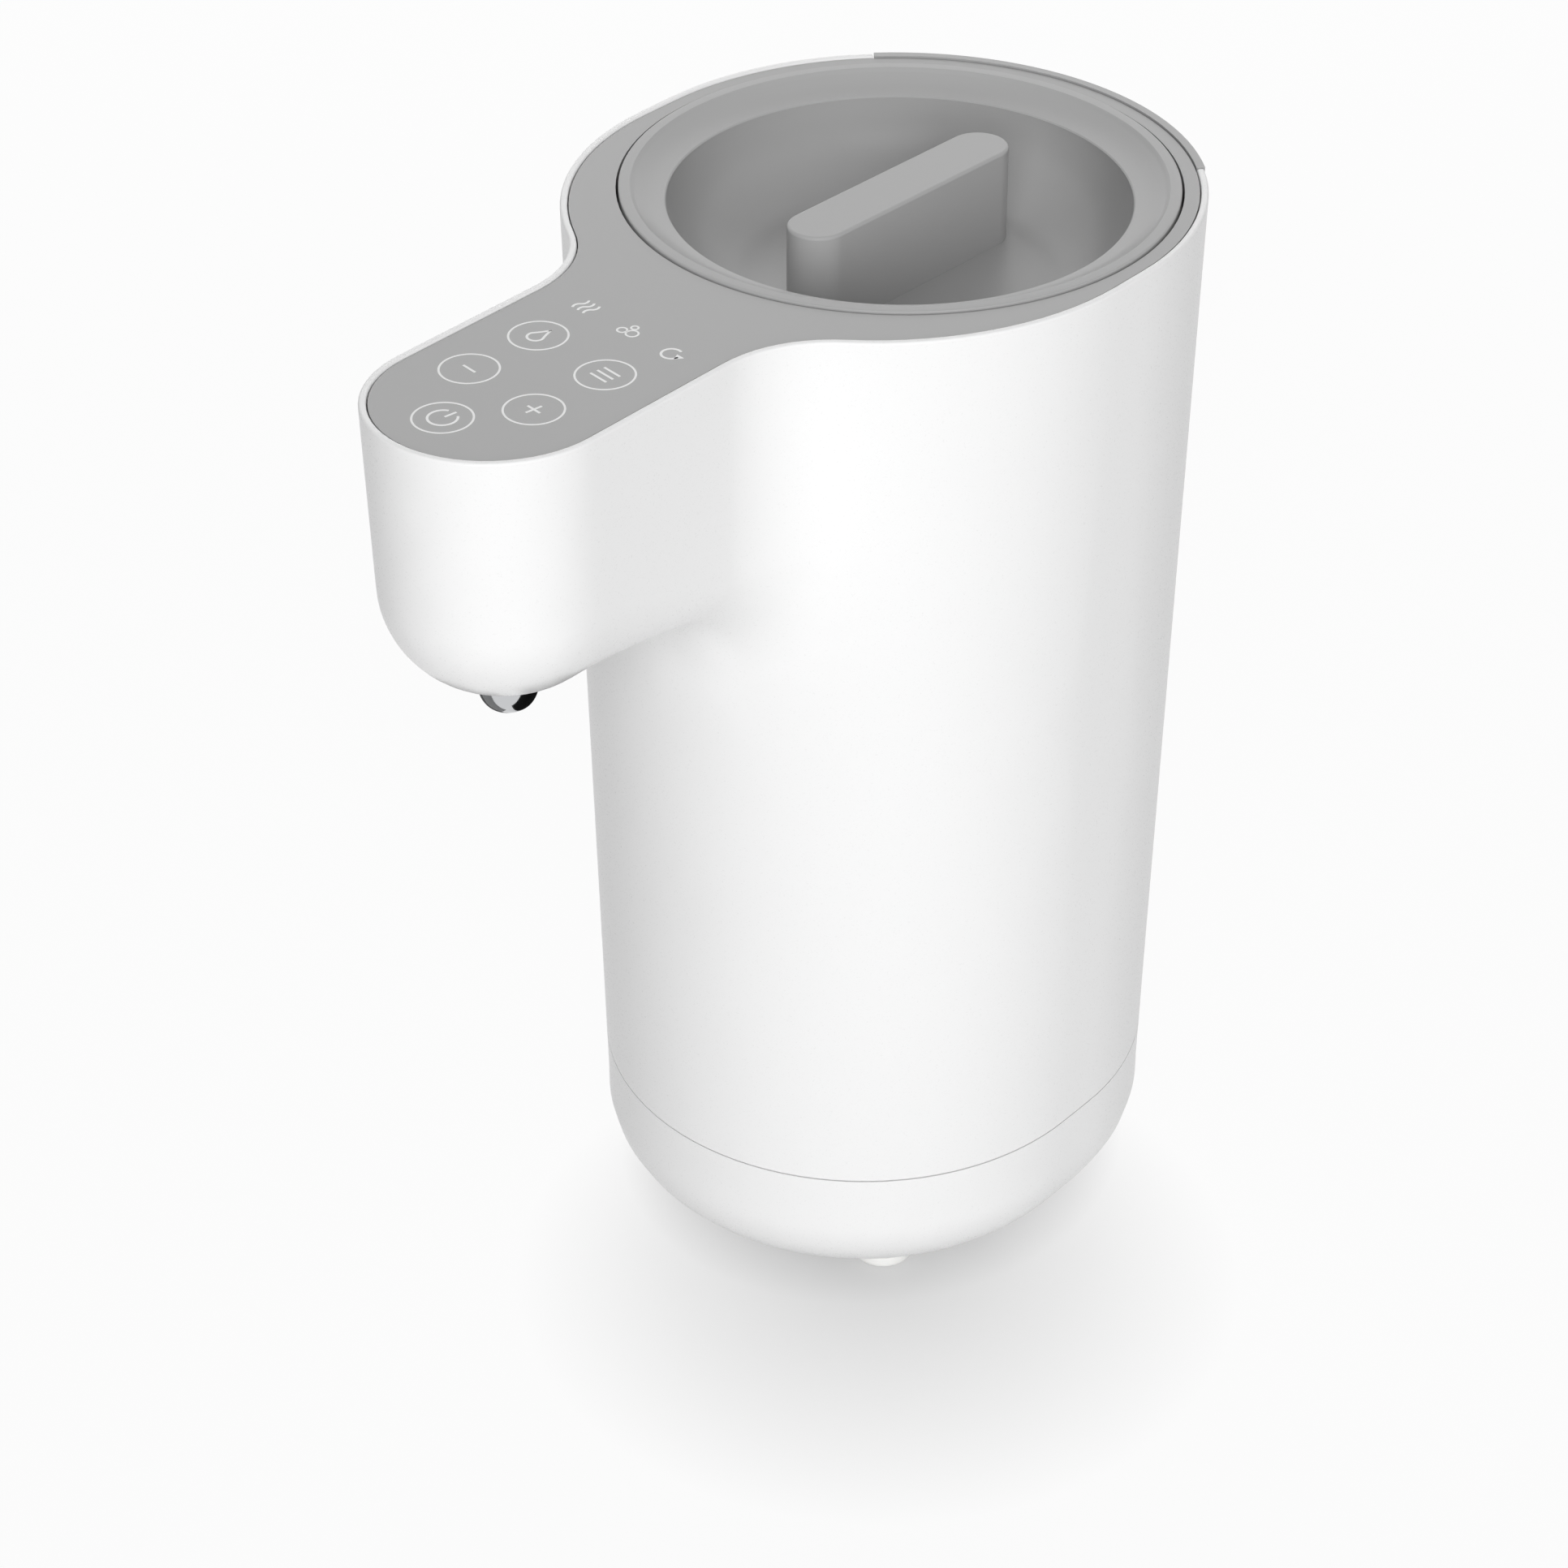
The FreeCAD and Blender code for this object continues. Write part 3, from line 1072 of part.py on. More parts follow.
def make_thermostat():
    low = HEATER_LOW_Z - THERMOSTAT_HEIGHT
    body = turned(
        [
            (0, low),
            (THERMOSTAT_RADIUS - 2.5, low),
            (THERMOSTAT_RADIUS - 2.5, low + THERMOSTAT_STEP),
            (THERMOSTAT_RADIUS - 0.5, low + THERMOSTAT_STEP),
            (THERMOSTAT_RADIUS - 0.5, HEATER_LOW_Z - 1),
            (THERMOSTAT_RADIUS, HEATER_LOW_Z - 1),
            (THERMOSTAT_RADIUS, HEATER_LOW_Z),
            (0, HEATER_LOW_Z),
        ]
    )
    tabs = [box(x - 0.4, x + 0.4, LID_Y - 2.4, LID_Y + 2.4, low - THERMOSTAT_TAB, low + 1)
            for x in (-THERMOSTAT_TAB_X, THERMOSTAT_TAB_X)]
    return fuse_all([body] + tabs)


def make_thermal_fuse():
    """The fuse lies midway between the thermostat and the heating element."""
    x = FUSE_OFFSET
    z = HEATER_LOW_Z - FUSE_RADIUS - 0.4
    y0 = LID_Y - FUSE_LENGTH / 2
    fuse = rod(Vector(x, y0, z), Vector(x, y0 + FUSE_LENGTH, z), FUSE_RADIUS)
    saddle = box(x - FUSE_RADIUS, x + FUSE_RADIUS, LID_Y - 2, LID_Y + 2, z, HEATER_LOW_Z)
    return fuse_all([fuse, saddle])


def make_temperature_probe():
    """The probe sits in the gap between the heating element's ends, away from its heat."""
    x = -ELEMENT_RING
    body = cylinder(x, LID_Y, HEATER_LOW_Z - PROBE_LENGTH, HEATER_LOW_Z, PROBE_RADIUS)
    tab = cylinder(x, LID_Y, HEATER_LOW_Z - 1, HEATER_LOW_Z, PROBE_RADIUS + 1)
    return fuse_all([body, tab])


def make_inlet_hose():
    return hose(Vector(0, PUMP_Y, VOLUTE_TOP_Z + NIPPLE_LENGTH - HOSE_OVERLAP),
                Vector(0, PUMP_Y, LINER_BOTTOM_Z - PORT_LENGTH + HOSE_OVERLAP))


def make_pump_pad():
    return cylinder(0, PUMP_Y, PUMP_SEAT_Z, PUMP_Z, PUMP_RADIUS)


def pump_lugs(low, thickness):
    lug = cylinder(LUG_REACH, PUMP_Y, low, low + thickness, LUG_RADIUS)
    root = box(PUMP_RADIUS - 1, LUG_REACH, PUMP_Y - LUG_RADIUS, PUMP_Y + LUG_RADIUS, low, low + thickness)
    return spread(lug.fuse(root), LUG_ANGLES, 0, PUMP_Y)


def pump_screw_bores(low, high):
    return spread(cylinder(LUG_REACH, PUMP_Y, low, high, SCREW_RADIUS + FIT), LUG_ANGLES, 0, PUMP_Y)


def make_pump_motor():
    can = cylinder(0, PUMP_Y, PUMP_Z, VOLUTE_LOW_Z, PUMP_RADIUS)
    lugs = pump_lugs(VOLUTE_LOW_Z - LUG_THICKNESS, LUG_THICKNESS)
    return cut_all(fuse_all([can] + lugs), pump_screw_bores(PUMP_Z, VOLUTE_LOW_Z + 1))


def make_pump_shaft():
    return cylinder(0, PUMP_Y, VOLUTE_LOW_Z, VOLUTE_LOW_Z + SHAFT_LENGTH, SHAFT_RADIUS)


def make_pump_housing():
    duct_radius = NIPPLE_BORE + VOLUTE_WALL
    duct_z = VOLUTE_LOW_Z + VOLUTE_HEIGHT / 2
    start = Vector(RISER_X, PUMP_Y, duct_z)
    end = Vector(RISER_X, RISER_Y, duct_z)
    solids = [
        cylinder(0, PUMP_Y, VOLUTE_LOW_Z, VOLUTE_TOP_Z, PUMP_RADIUS),
        cylinder(0, PUMP_Y, VOLUTE_TOP_Z - 1, VOLUTE_TOP_Z + NIPPLE_LENGTH, NIPPLE_RADIUS),
        rod(start, end, duct_radius),
        cylinder(RISER_X, RISER_Y, duct_z - duct_radius, VOLUTE_TOP_Z, duct_radius),
        cylinder(RISER_X, RISER_Y, duct_z, VOLUTE_TOP_Z + NIPPLE_LENGTH, NIPPLE_RADIUS),
    ]
    bores = [
        cylinder(0, PUMP_Y, VOLUTE_LOW_Z - 1, VOLUTE_TOP_Z - VOLUTE_WALL, PUMP_RADIUS - VOLUTE_WALL),
        cylinder(0, PUMP_Y, VOLUTE_LOW_Z, VOLUTE_TOP_Z + NIPPLE_LENGTH + 1, NIPPLE_BORE),
        rod(start, end, NIPPLE_BORE),
        cylinder(RISER_X, RISER_Y, duct_z, VOLUTE_TOP_Z + NIPPLE_LENGTH + 1, NIPPLE_BORE),
    ]
    housing = fuse_all(solids + pump_lugs(VOLUTE_LOW_Z, LUG_THICKNESS))
    return cut_all(housing, bores + pump_screw_bores(VOLUTE_LOW_Z - 1, VOLUTE_LOW_Z + LUG_THICKNESS + 1))


def make_pump_rotor():
    low = VOLUTE_LOW_Z + 0.5
    disc_top = low + IMPELLER_DISC
    top = disc_top + IMPELLER_BLADE_HEIGHT
    blade = box(IMPELLER_HUB_RADIUS - 0.7, IMPELLER_RADIUS, PUMP_Y, PUMP_Y + BLADE_THICKNESS, low, top)
    blade.rotate(Vector(IMPELLER_HUB_RADIUS, PUMP_Y, 0), Vector(0, 0, 1), -IMPELLER_LEAN)
    blade = blade.common(cylinder(0, PUMP_Y, low, top, IMPELLER_RADIUS))
    angles = [360 / IMPELLER_BLADES * i for i in range(IMPELLER_BLADES)]
    hub = [cylinder(0, PUMP_Y, low, disc_top, IMPELLER_RADIUS),
           cylinder(0, PUMP_Y, low, top, IMPELLER_HUB_RADIUS)]
    rotor = fuse_all(hub + spread(blade, angles, 0, PUMP_Y))
    return rotor.cut(cylinder(0, PUMP_Y, low - 1, top + 1, SHAFT_RADIUS + RUNNING))


def make_pump_screws():
    seat = VOLUTE_LOW_Z + LUG_THICKNESS
    head = screw(LUG_REACH, PUMP_Y, seat, PUMP_SCREW_LENGTH, False)
    return group(spread(head, LUG_ANGLES, 0, PUMP_Y))


def make_delivery_hose():
    return hose(Vector(RISER_X, RISER_Y, VOLUTE_TOP_Z + NIPPLE_LENGTH - HOSE_OVERLAP),
                Vector(RISER_X, RISER_Y, RISER_LOW_Z + HOSE_OVERLAP))


def make_riser_tube():
    return tube(RISER_X, RISER_Y, RISER_LOW_Z, ELBOW_Z - NIPPLE_RADIUS - 1, NIPPLE_RADIUS, NIPPLE_BORE)


def arm_hose_ends():
    """The axes of the elbow and the nozzle body at the arm hose's height, and the way between them."""
    elbow = Vector(RISER_X, RISER_Y, ELBOW_Z)
    nozzle = Vector(0, ARM_TIP_Y, ELBOW_Z)
    return elbow, nozzle, (nozzle - elbow).normalize()


def make_riser_elbow():
    elbow, nozzle, way = arm_hose_ends()
    top = ELBOW_Z + ELBOW_RADIUS - 1
    low = ELBOW_Z - ELBOW_SOCKET
    socket_top = ELBOW_Z - NIPPLE_RADIUS - 1 + FIT
    solids = [
        cylinder(RISER_X, RISER_Y, low, top, ELBOW_RADIUS),
        rod(elbow, elbow + way * ELBOW_ARM, NIPPLE_RADIUS),
    ]
    bores = [
        cylinder(RISER_X, RISER_Y, low - 1, socket_top, NIPPLE_RADIUS + FIT),
        cylinder(RISER_X, RISER_Y, low, ELBOW_Z + 2, NIPPLE_BORE),
        rod(elbow, elbow + way * (ELBOW_ARM + 1), NIPPLE_BORE),
    ]
    return cut_all(fuse_all(solids), bores)


def make_arm_hose():
    elbow, nozzle, way = arm_hose_ends()
    return hose(elbow + way * (ELBOW_ARM - HOSE_OVERLAP), nozzle - way * (ELBOW_ARM - HOSE_OVERLAP))


def make_nozzle_body():
    elbow, nozzle, way = arm_hose_ends()
    top = ELBOW_Z + ELBOW_RADIUS
    solids = [
        cylinder(0, ARM_TIP_Y, NOZZLE_BODY_Z, top, NOZZLE_BODY_RADIUS),
        rod(nozzle, nozzle - way * ELBOW_ARM, NIPPLE_RADIUS),
    ]
    bores = [
        cylinder(0, ARM_TIP_Y, NOZZLE_BODY_Z - 1, NOZZLE_BODY_Z + NOZZLE_STEM_DEPTH, NOZZLE_STEM + FIT),
        cylinder(0, ARM_TIP_Y, NOZZLE_BODY_Z, ELBOW_Z + 2, NIPPLE_BORE),
        rod(nozzle, nozzle - way * (ELBOW_ARM + 1), NIPPLE_BORE),
    ]
    return cut_all(fuse_all(solids), bores)


def make_nozzle_seal():
    return tube(0, ARM_TIP_Y, NOZZLE_SEAL_Z, NOZZLE_BODY_Z, NOZZLE_BODY_RADIUS, NOZZLE_STEM + FIT)


def make_nozzle_tip():
    low = ARM_FLOOR_Z - NOZZLE_DROP
    seat = ARM_FLOOR_Z + NOZZLE_SPOT
    top = NOZZLE_BODY_Z + NOZZLE_STEM_DEPTH - FIT
    return turned(
        [
            (NOZZLE_BORE, low),
            (NOZZLE_TIP_RADIUS - 0.5, low),
            (NOZZLE_TIP_RADIUS, low + 0.5),
            (NOZZLE_RADIUS, seat - 2.5),
            (NOZZLE_RADIUS, seat),
            (NOZZLE_STEM, seat),
            (NOZZLE_STEM, top),
            (NOZZLE_BORE, top),
        ],
        0,
        ARM_TIP_Y,
    )


def make_fan_frame():
    half = FAN_SIZE / 2
    frame = box(-half, half, FAN_Y - half, FAN_Y + half, FAN_LOW_Z, FAN_LOW_Z + FAN_THICKNESS)
    corners = [edge for edge in frame.Edges if abs(edge.Vertexes[0].Point.z - edge.Vertexes[-1].Point.z) > 1]
    frame = frame.makeFillet(FAN_CORNER, corners)
    frame = frame.cut(cylinder(0, FAN_Y, FAN_LOW_Z - 1, FAN_LOW_Z + FAN_THICKNESS + 1, FAN_DUCT_RADIUS))
    struts = [cylinder(0, FAN_Y, FAN_LOW_Z, FAN_LOW_Z + FAN_STATOR, FAN_HUB_RADIUS),
              cylinder(0, FAN_Y, FAN_LOW_Z, FAN_LOW_Z + FAN_THICKNESS - 3, SHAFT_RADIUS)]
    reach = FAN_DUCT_RADIUS + 0.5
    strut = box(-reach, reach, FAN_Y - FAN_STRUT / 2, FAN_Y + FAN_STRUT / 2,
                FAN_LOW_Z, FAN_LOW_Z + FAN_STATOR)
    struts += spread(strut, (45, 135), 0, FAN_Y)
    bores = [cylinder(x, y, FAN_LOW_Z - 1, FAN_LOW_Z + FAN_THICKNESS + 1, SCREW_RADIUS + FIT)
             for x, y in fan_corners()]
    return cut_all(fuse_all([frame] + struts), bores)


def make_fan_rotor():
    low = FAN_LOW_Z + FAN_STATOR + 0.5
    high = FAN_LOW_Z + FAN_THICKNESS - 0.5
    middle = (low + high) / 2
    reach = FAN_DUCT_RADIUS - FAN_TIP_CLEARANCE
    blade = box(FAN_HUB_RADIUS - 1, reach + 1, FAN_Y - FAN_CHORD / 2, FAN_Y + FAN_CHORD / 2,
                middle - BLADE_THICKNESS / 2, middle + BLADE_THICKNESS / 2)
    blade.rotate(Vector(0, FAN_Y, middle), Vector(1, 0, 0), FAN_BLADE_PITCH)
    blade = blade.common(cylinder(0, FAN_Y, low, high, reach))
    angles = [360 / FAN_BLADES * i for i in range(FAN_BLADES)]
    rotor = fuse_all([cylinder(0, FAN_Y, low, high, FAN_HUB_RADIUS)] + spread(blade, angles, 0, FAN_Y))
    bore_top = FAN_LOW_Z + FAN_THICKNESS - 2
    return rotor.cut(cylinder(0, FAN_Y, low - 1, bore_top, SHAFT_RADIUS + RUNNING))


def make_fan_screws():
    seat = FAN_LOW_Z + FAN_THICKNESS
    length = FAN_THICKNESS + FAN_SCREW_LENGTH - 1
    return group([screw(x, y, seat, length, False) for x, y in fan_corners()])


def make_power_board():
    half = BOARD_LENGTH / 2
    return box(BOARD_X, BOARD_X + BOARD_THICKNESS, MIDDLE_Y - half, MIDDLE_Y + half,
               BOARD_LOW_Z, BOARD_TOP_Z)


def make_board_relay():
    y = MIDDLE_Y - BOARD_LENGTH / 2 + BOARD_RAIL + RELAY_GAP
    low = BOARD_LOW_Z + RELAY_RISE
    return box(BOARD_X - RELAY_DEPTH, BOARD_X, y, y + RELAY_WIDTH, low, low + RELAY_HEIGHT)


def make_board_transformer():
    low = BOARD_LOW_Z + TRANSFORMER_RISE
    high = low + TRANSFORMER_HEIGHT
    core_half = TRANSFORMER_WIDTH / 2
    coil_half = COIL_WIDTH / 2
    core = box(BOARD_X - TRANSFORMER_DEPTH, BOARD_X, MIDDLE_Y - core_half, MIDDLE_Y + core_half, low, high)
    coil = box(BOARD_X - TRANSFORMER_DEPTH + COIL_MARGIN, BOARD_X - COIL_MARGIN, MIDDLE_Y - coil_half,
               MIDDLE_Y + coil_half, low + COIL_MARGIN, high - COIL_MARGIN)
    return fuse_all([core, coil])


def make_board_capacitors():
    y = MIDDLE_Y + BOARD_LENGTH / 2 - CAPACITOR_INSET
    heights = [BOARD_LOW_Z + rise for rise in CAPACITOR_RISES]
    return group([rod(Vector(BOARD_X, y, z), Vector(BOARD_X - CAPACITOR_LENGTH, y, z), CAPACITOR_RADIUS)
                  for z in heights])


def plug_row(y_range):
    """A row of connectors along the board's upper edge."""
    return box(BOARD_X - PLUG_ROW_DEPTH, BOARD_X, y_range[0], y_range[1], PLUG_ROW_Z,
               PLUG_ROW_Z + PLUG_ROW_HEIGHT)


def make_touch_board():
    w = TOUCH_BOARD_HALF_WIDTH
    back = LID_Y - TOUCH_BOARD_ROOT
    z = TOUCH_BOARD_Z
    outline = Part.Wire(
        [
            arc(Vector(w, ARM_TIP_Y, z), Vector(0, ARM_TIP_Y - w, z), Vector(-w, ARM_TIP_Y, z)),
            line(Vector(-w, ARM_TIP_Y, z), Vector(-w, back, z)),
            line(Vector(-w, back, z), Vector(w, back, z)),
            line(Vector(w, back, z), Vector(w, ARM_TIP_Y, z)),
        ]
    )
    board = prism(outline, BOARD_THICKNESS)
    y = LID_Y - TOUCH_PLUG_REACH
    plug = box(TOUCH_PLUG_X - TOUCH_PLUG_HALF_LENGTH, TOUCH_PLUG_X + TOUCH_PLUG_HALF_LENGTH,
               y - TOUCH_PLUG_HALF_WIDTH, y + TOUCH_PLUG_HALF_WIDTH, z - TOUCH_PLUG_DROP, z)
    bores = [cylinder(x, y, z - 1, z + 3, SCREW_RADIUS + FIT) for x, y in TOUCH_POSTS]
    return cut_all(board.fuse(plug), bores)


def make_touch_springs():
    return group([tube(x, y, TOUCH_BOARD_TOP_Z, PANEL_BOTTOM_Z, BUTTON_SPRING_RADIUS,
                       BUTTON_SPRING_RADIUS - BUTTON_WIRE) for x, y in BUTTONS])


def make_indicator_leds():
    y = LID_Y - LED_ROW
    z = TOUCH_BOARD_TOP_Z
    half_length = LED_LENGTH / 2
    half_width = LED_WIDTH / 2
    return group([box(x - half_length, x + half_length, y - half_width, y + half_width, z, z + LED_HEIGHT)
                  for x in (-LED_PITCH, 0, LED_PITCH)])


def make_touch_screws():
    return group([screw(x, y, TOUCH_BOARD_Z, TOUCH_SCREW_LENGTH) for x, y in TOUCH_POSTS])


def make_touch_lead():
    x = BOARD_X - LEAD_PLUG_DEPTH
    low = PLUG_ROW_Z + PLUG_ROW_HEIGHT
    high = low + LEAD_LOOP
    plug_y = LID_Y - TOUCH_PLUG_REACH
    return lead(
        [
            Vector(x, TOUCH_PLUG_Y, low),
            Vector(x, TOUCH_PLUG_Y, high),
            Vector(LEAD_X, LEAD_Y, high),
            Vector(LEAD_X, LEAD_Y, LEAD_TURN_Z),
            Vector(TOUCH_PLUG_X, plug_y, LEAD_TURN_Z),
            Vector(TOUCH_PLUG_X, plug_y, TOUCH_BOARD_Z - TOUCH_PLUG_DROP),
        ],
        LEAD_RADIUS,
    )


def make_mains_lead():
    """The moulded connector on the inlet's pins and the sleeved lead to the board's terminals."""
    back = inlet_seat_y() + INLET_FLANGE_THICKNESS - INLET_DEPTH
    front = back - CONNECTOR_LENGTH
    connector = box(-CONNECTOR_HALF_WIDTH, CONNECTOR_HALF_WIDTH, front, back,
                    INLET_Z - CONNECTOR_HALF_HEIGHT, INLET_Z + CONNECTOR_HALF_HEIGHT)
    x = BOARD_X - LEAD_PLUG_DEPTH
    low = PLUG_ROW_Z + PLUG_ROW_HEIGHT
    run = lead(
        [
            Vector(0, front, INLET_Z),
            Vector(MAINS_LEAD_X, front - MAINS_LEAD_REACH, INLET_Z),
            Vector(x, MAINS_TERMINAL_Y, low + LEAD_LOOP),
            Vector(x, MAINS_TERMINAL_Y, low),
        ],
        POWER_LEAD_RADIUS,
    )
    whole = connector.fuse(run).removeSplitter()
    return cut_all(whole, [inlet_pin(sx, FIT) for sx in (-1, 1)])


def make_heater_lead():
    """The ceramic block on the element's pins and the sleeved lead to the board's terminals."""
    pins = element_pins(PIN_RADIUS + FIT, PIN_LENGTH)
    pin_box = pins[0].BoundBox
    low = HEATER_LOW_Z - PIN_LENGTH - 1
    top = HEATER_LOW_Z - SHIELD_DROP - PIN_BLOCK_GAP
    reach = LID_Y - pin_box.Center.y + PIN_BLOCK_END
    side = pin_box.XMin - PIN_BLOCK_SIDE
    block = box(side, pin_box.XMax + PIN_BLOCK_SIDE, LID_Y - reach, LID_Y + reach, low, top)
    x = BOARD_X - LEAD_PLUG_DEPTH
    board_z = PLUG_ROW_Z + PLUG_ROW_HEIGHT
    lead_z = (low + top) / 2
    run = lead(
        [
            Vector(side, LID_Y, lead_z),
            Vector(x, HEATER_TERMINAL_Y, lead_z),
            Vector(x, HEATER_TERMINAL_Y, board_z),
        ],
        POWER_LEAD_RADIUS,
    )
    return cut_all(block.fuse(run).removeSplitter(), pins)


def save(name, shape):
    shape.exportStep(os.path.join("parts", name + ".step"))


os.makedirs("parts", exist_ok=True)
save("housing", make_housing())
save("base_shell", make_base_shell())
save("feet", make_feet())
save("base_screws", make_base_screws())
save("top_panel", make_top_panel())
save("rear_cover", make_rear_cover())
save("power_inlet", make_power_inlet())
save("inlet_pins", make_inlet_pins())
save("lid_cover", make_lid_cover())
save("lid_inner", make_lid_inner())
save("lid_seal", make_lid_seal())
save("lid_screws", make_lid_screws())
save("liner", make_liner())
save("liner_gasket", make_liner_gasket())
save("liner_cradle", make_liner_cradle())
save("cradle_screws", make_cradle_screws())
save("heater_plate", make_heater_plate())
save("heating_element", make_heating_element())
save("heat_shield", make_heat_shield())
save("thermostat", make_thermostat())
save("thermal_fuse", make_thermal_fuse())
save("temperature_probe", make_temperature_probe())
save("inlet_hose", make_inlet_hose())
save("pump_pad", make_pump_pad())
save("pump_motor", make_pump_motor())
save("pump_shaft", make_pump_shaft())
save("pump_housing", make_pump_housing())
save("pump_rotor", make_pump_rotor())
save("pump_screws", make_pump_screws())
save("delivery_hose", make_delivery_hose())
save("riser_tube", make_riser_tube())
save("riser_elbow", make_riser_elbow())
save("arm_hose", make_arm_hose())
save("nozzle_body", make_nozzle_body())
save("nozzle_seal", make_nozzle_seal())
save("nozzle_tip", make_nozzle_tip())
save("fan_frame", make_fan_frame())
save("fan_rotor", make_fan_rotor())
save("fan_screws", make_fan_screws())
save("power_board", make_power_board())
save("board_relay", make_board_relay())
save("board_transformer", make_board_transformer())
save("board_capacitors", make_board_capacitors())
save("board_terminals", plug_row(TERMINALS_Y))
save("board_plugs", plug_row(PLUGS_Y))
save("touch_board", make_touch_board())
save("touch_springs", make_touch_springs())
save("indicator_leds", make_indicator_leds())
save("touch_screws", make_touch_screws())
save("touch_lead", make_touch_lead())
save("mains_lead", make_mains_lead())
save("heater_lead", make_heater_lead())
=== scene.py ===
"""Baby formula maker: its visible pieces, their materials and the studio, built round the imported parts."""

import math

import bmesh
import bpy
from mathutils import Matrix, Vector


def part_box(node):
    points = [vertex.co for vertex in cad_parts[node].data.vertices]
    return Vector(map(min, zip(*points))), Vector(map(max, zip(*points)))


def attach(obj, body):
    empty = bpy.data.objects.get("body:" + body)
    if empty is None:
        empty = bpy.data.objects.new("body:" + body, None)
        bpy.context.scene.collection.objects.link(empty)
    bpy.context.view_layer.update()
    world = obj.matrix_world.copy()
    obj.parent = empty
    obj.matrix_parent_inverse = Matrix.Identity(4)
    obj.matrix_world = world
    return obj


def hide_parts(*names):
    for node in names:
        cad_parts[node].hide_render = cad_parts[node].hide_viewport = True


bl_info = {
    "name": "Baby Formula Maker",
    "version": (1, 0, 0),
    "blender": (4, 5, 0),
    "location": "View3D > Sidebar > Formula Maker",
    "description": "Builds a countertop water heater for infant formula, with its materials and studio",
    "category": "Add Mesh",
}

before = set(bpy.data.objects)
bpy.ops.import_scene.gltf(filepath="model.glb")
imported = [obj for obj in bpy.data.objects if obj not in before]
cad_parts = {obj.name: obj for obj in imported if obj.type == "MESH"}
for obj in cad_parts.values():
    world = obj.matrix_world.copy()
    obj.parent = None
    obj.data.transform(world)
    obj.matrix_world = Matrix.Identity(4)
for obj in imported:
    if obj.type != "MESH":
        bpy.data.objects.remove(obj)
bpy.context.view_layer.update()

MM = 0.001
MERGE_DISTANCE = 0.002 * MM


def ground_centre(low, high):
    """The point on the floor under the middle of a box."""
    return Vector(((low.x + high.x) / 2, (low.y + high.y) / 2, 0))


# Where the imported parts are
LID_LOW, LID_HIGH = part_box("lid_cover")
LID_CENTRE = ground_centre(LID_LOW, LID_HIGH)
LID_RADIUS = (LID_HIGH.x - LID_LOW.x) / 2
LID_TOP = LID_HIGH.z
LID_SKIRT_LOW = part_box("lid_inner")[1].z
PANEL_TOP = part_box("top_panel")[1].z
RIM_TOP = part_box("housing")[1].z
NOZZLE_LOW, NOZZLE_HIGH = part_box("nozzle_tip")
NOZZLE_CENTRE = ground_centre(NOZZLE_LOW, NOZZLE_HIGH)
FEET_LOW, FEET_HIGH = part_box("feet")
BASE_LOW, BASE_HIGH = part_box("base_shell")
BASE_CENTRE = ground_centre(BASE_LOW, BASE_HIGH)

# Touch marks: x, and the distance from the lid's axis towards the arm's tip, in mm
RING_PLACES = {
    "drop": (-10.3, 92.9),
    "bars": (9.3, 96.0),
    "minus": (-11.1, 110.3),
    "plus": (8.3, 113.7),
    "power": (-2.0, 126.4),
}
PROGRAMME_PLACES = {"warmth": (-11.3, 78.9), "bubbles": (1.3, 80.8), "loop": (13.1, 82.3)}
# The turn of every mark about its own middle, in degrees
MARK_TURN = -9.0


def linear(hex_colour):
    """An sRGB hex colour as the linear red, green and blue that the shaders take."""
    channels = [int(hex_colour[i:i + 2], 16) / 255 for i in (0, 2, 4)]
    return tuple(c / 12.92 if c <= 0.04045 else ((c + 0.055) / 1.055) ** 2.4 for c in channels)


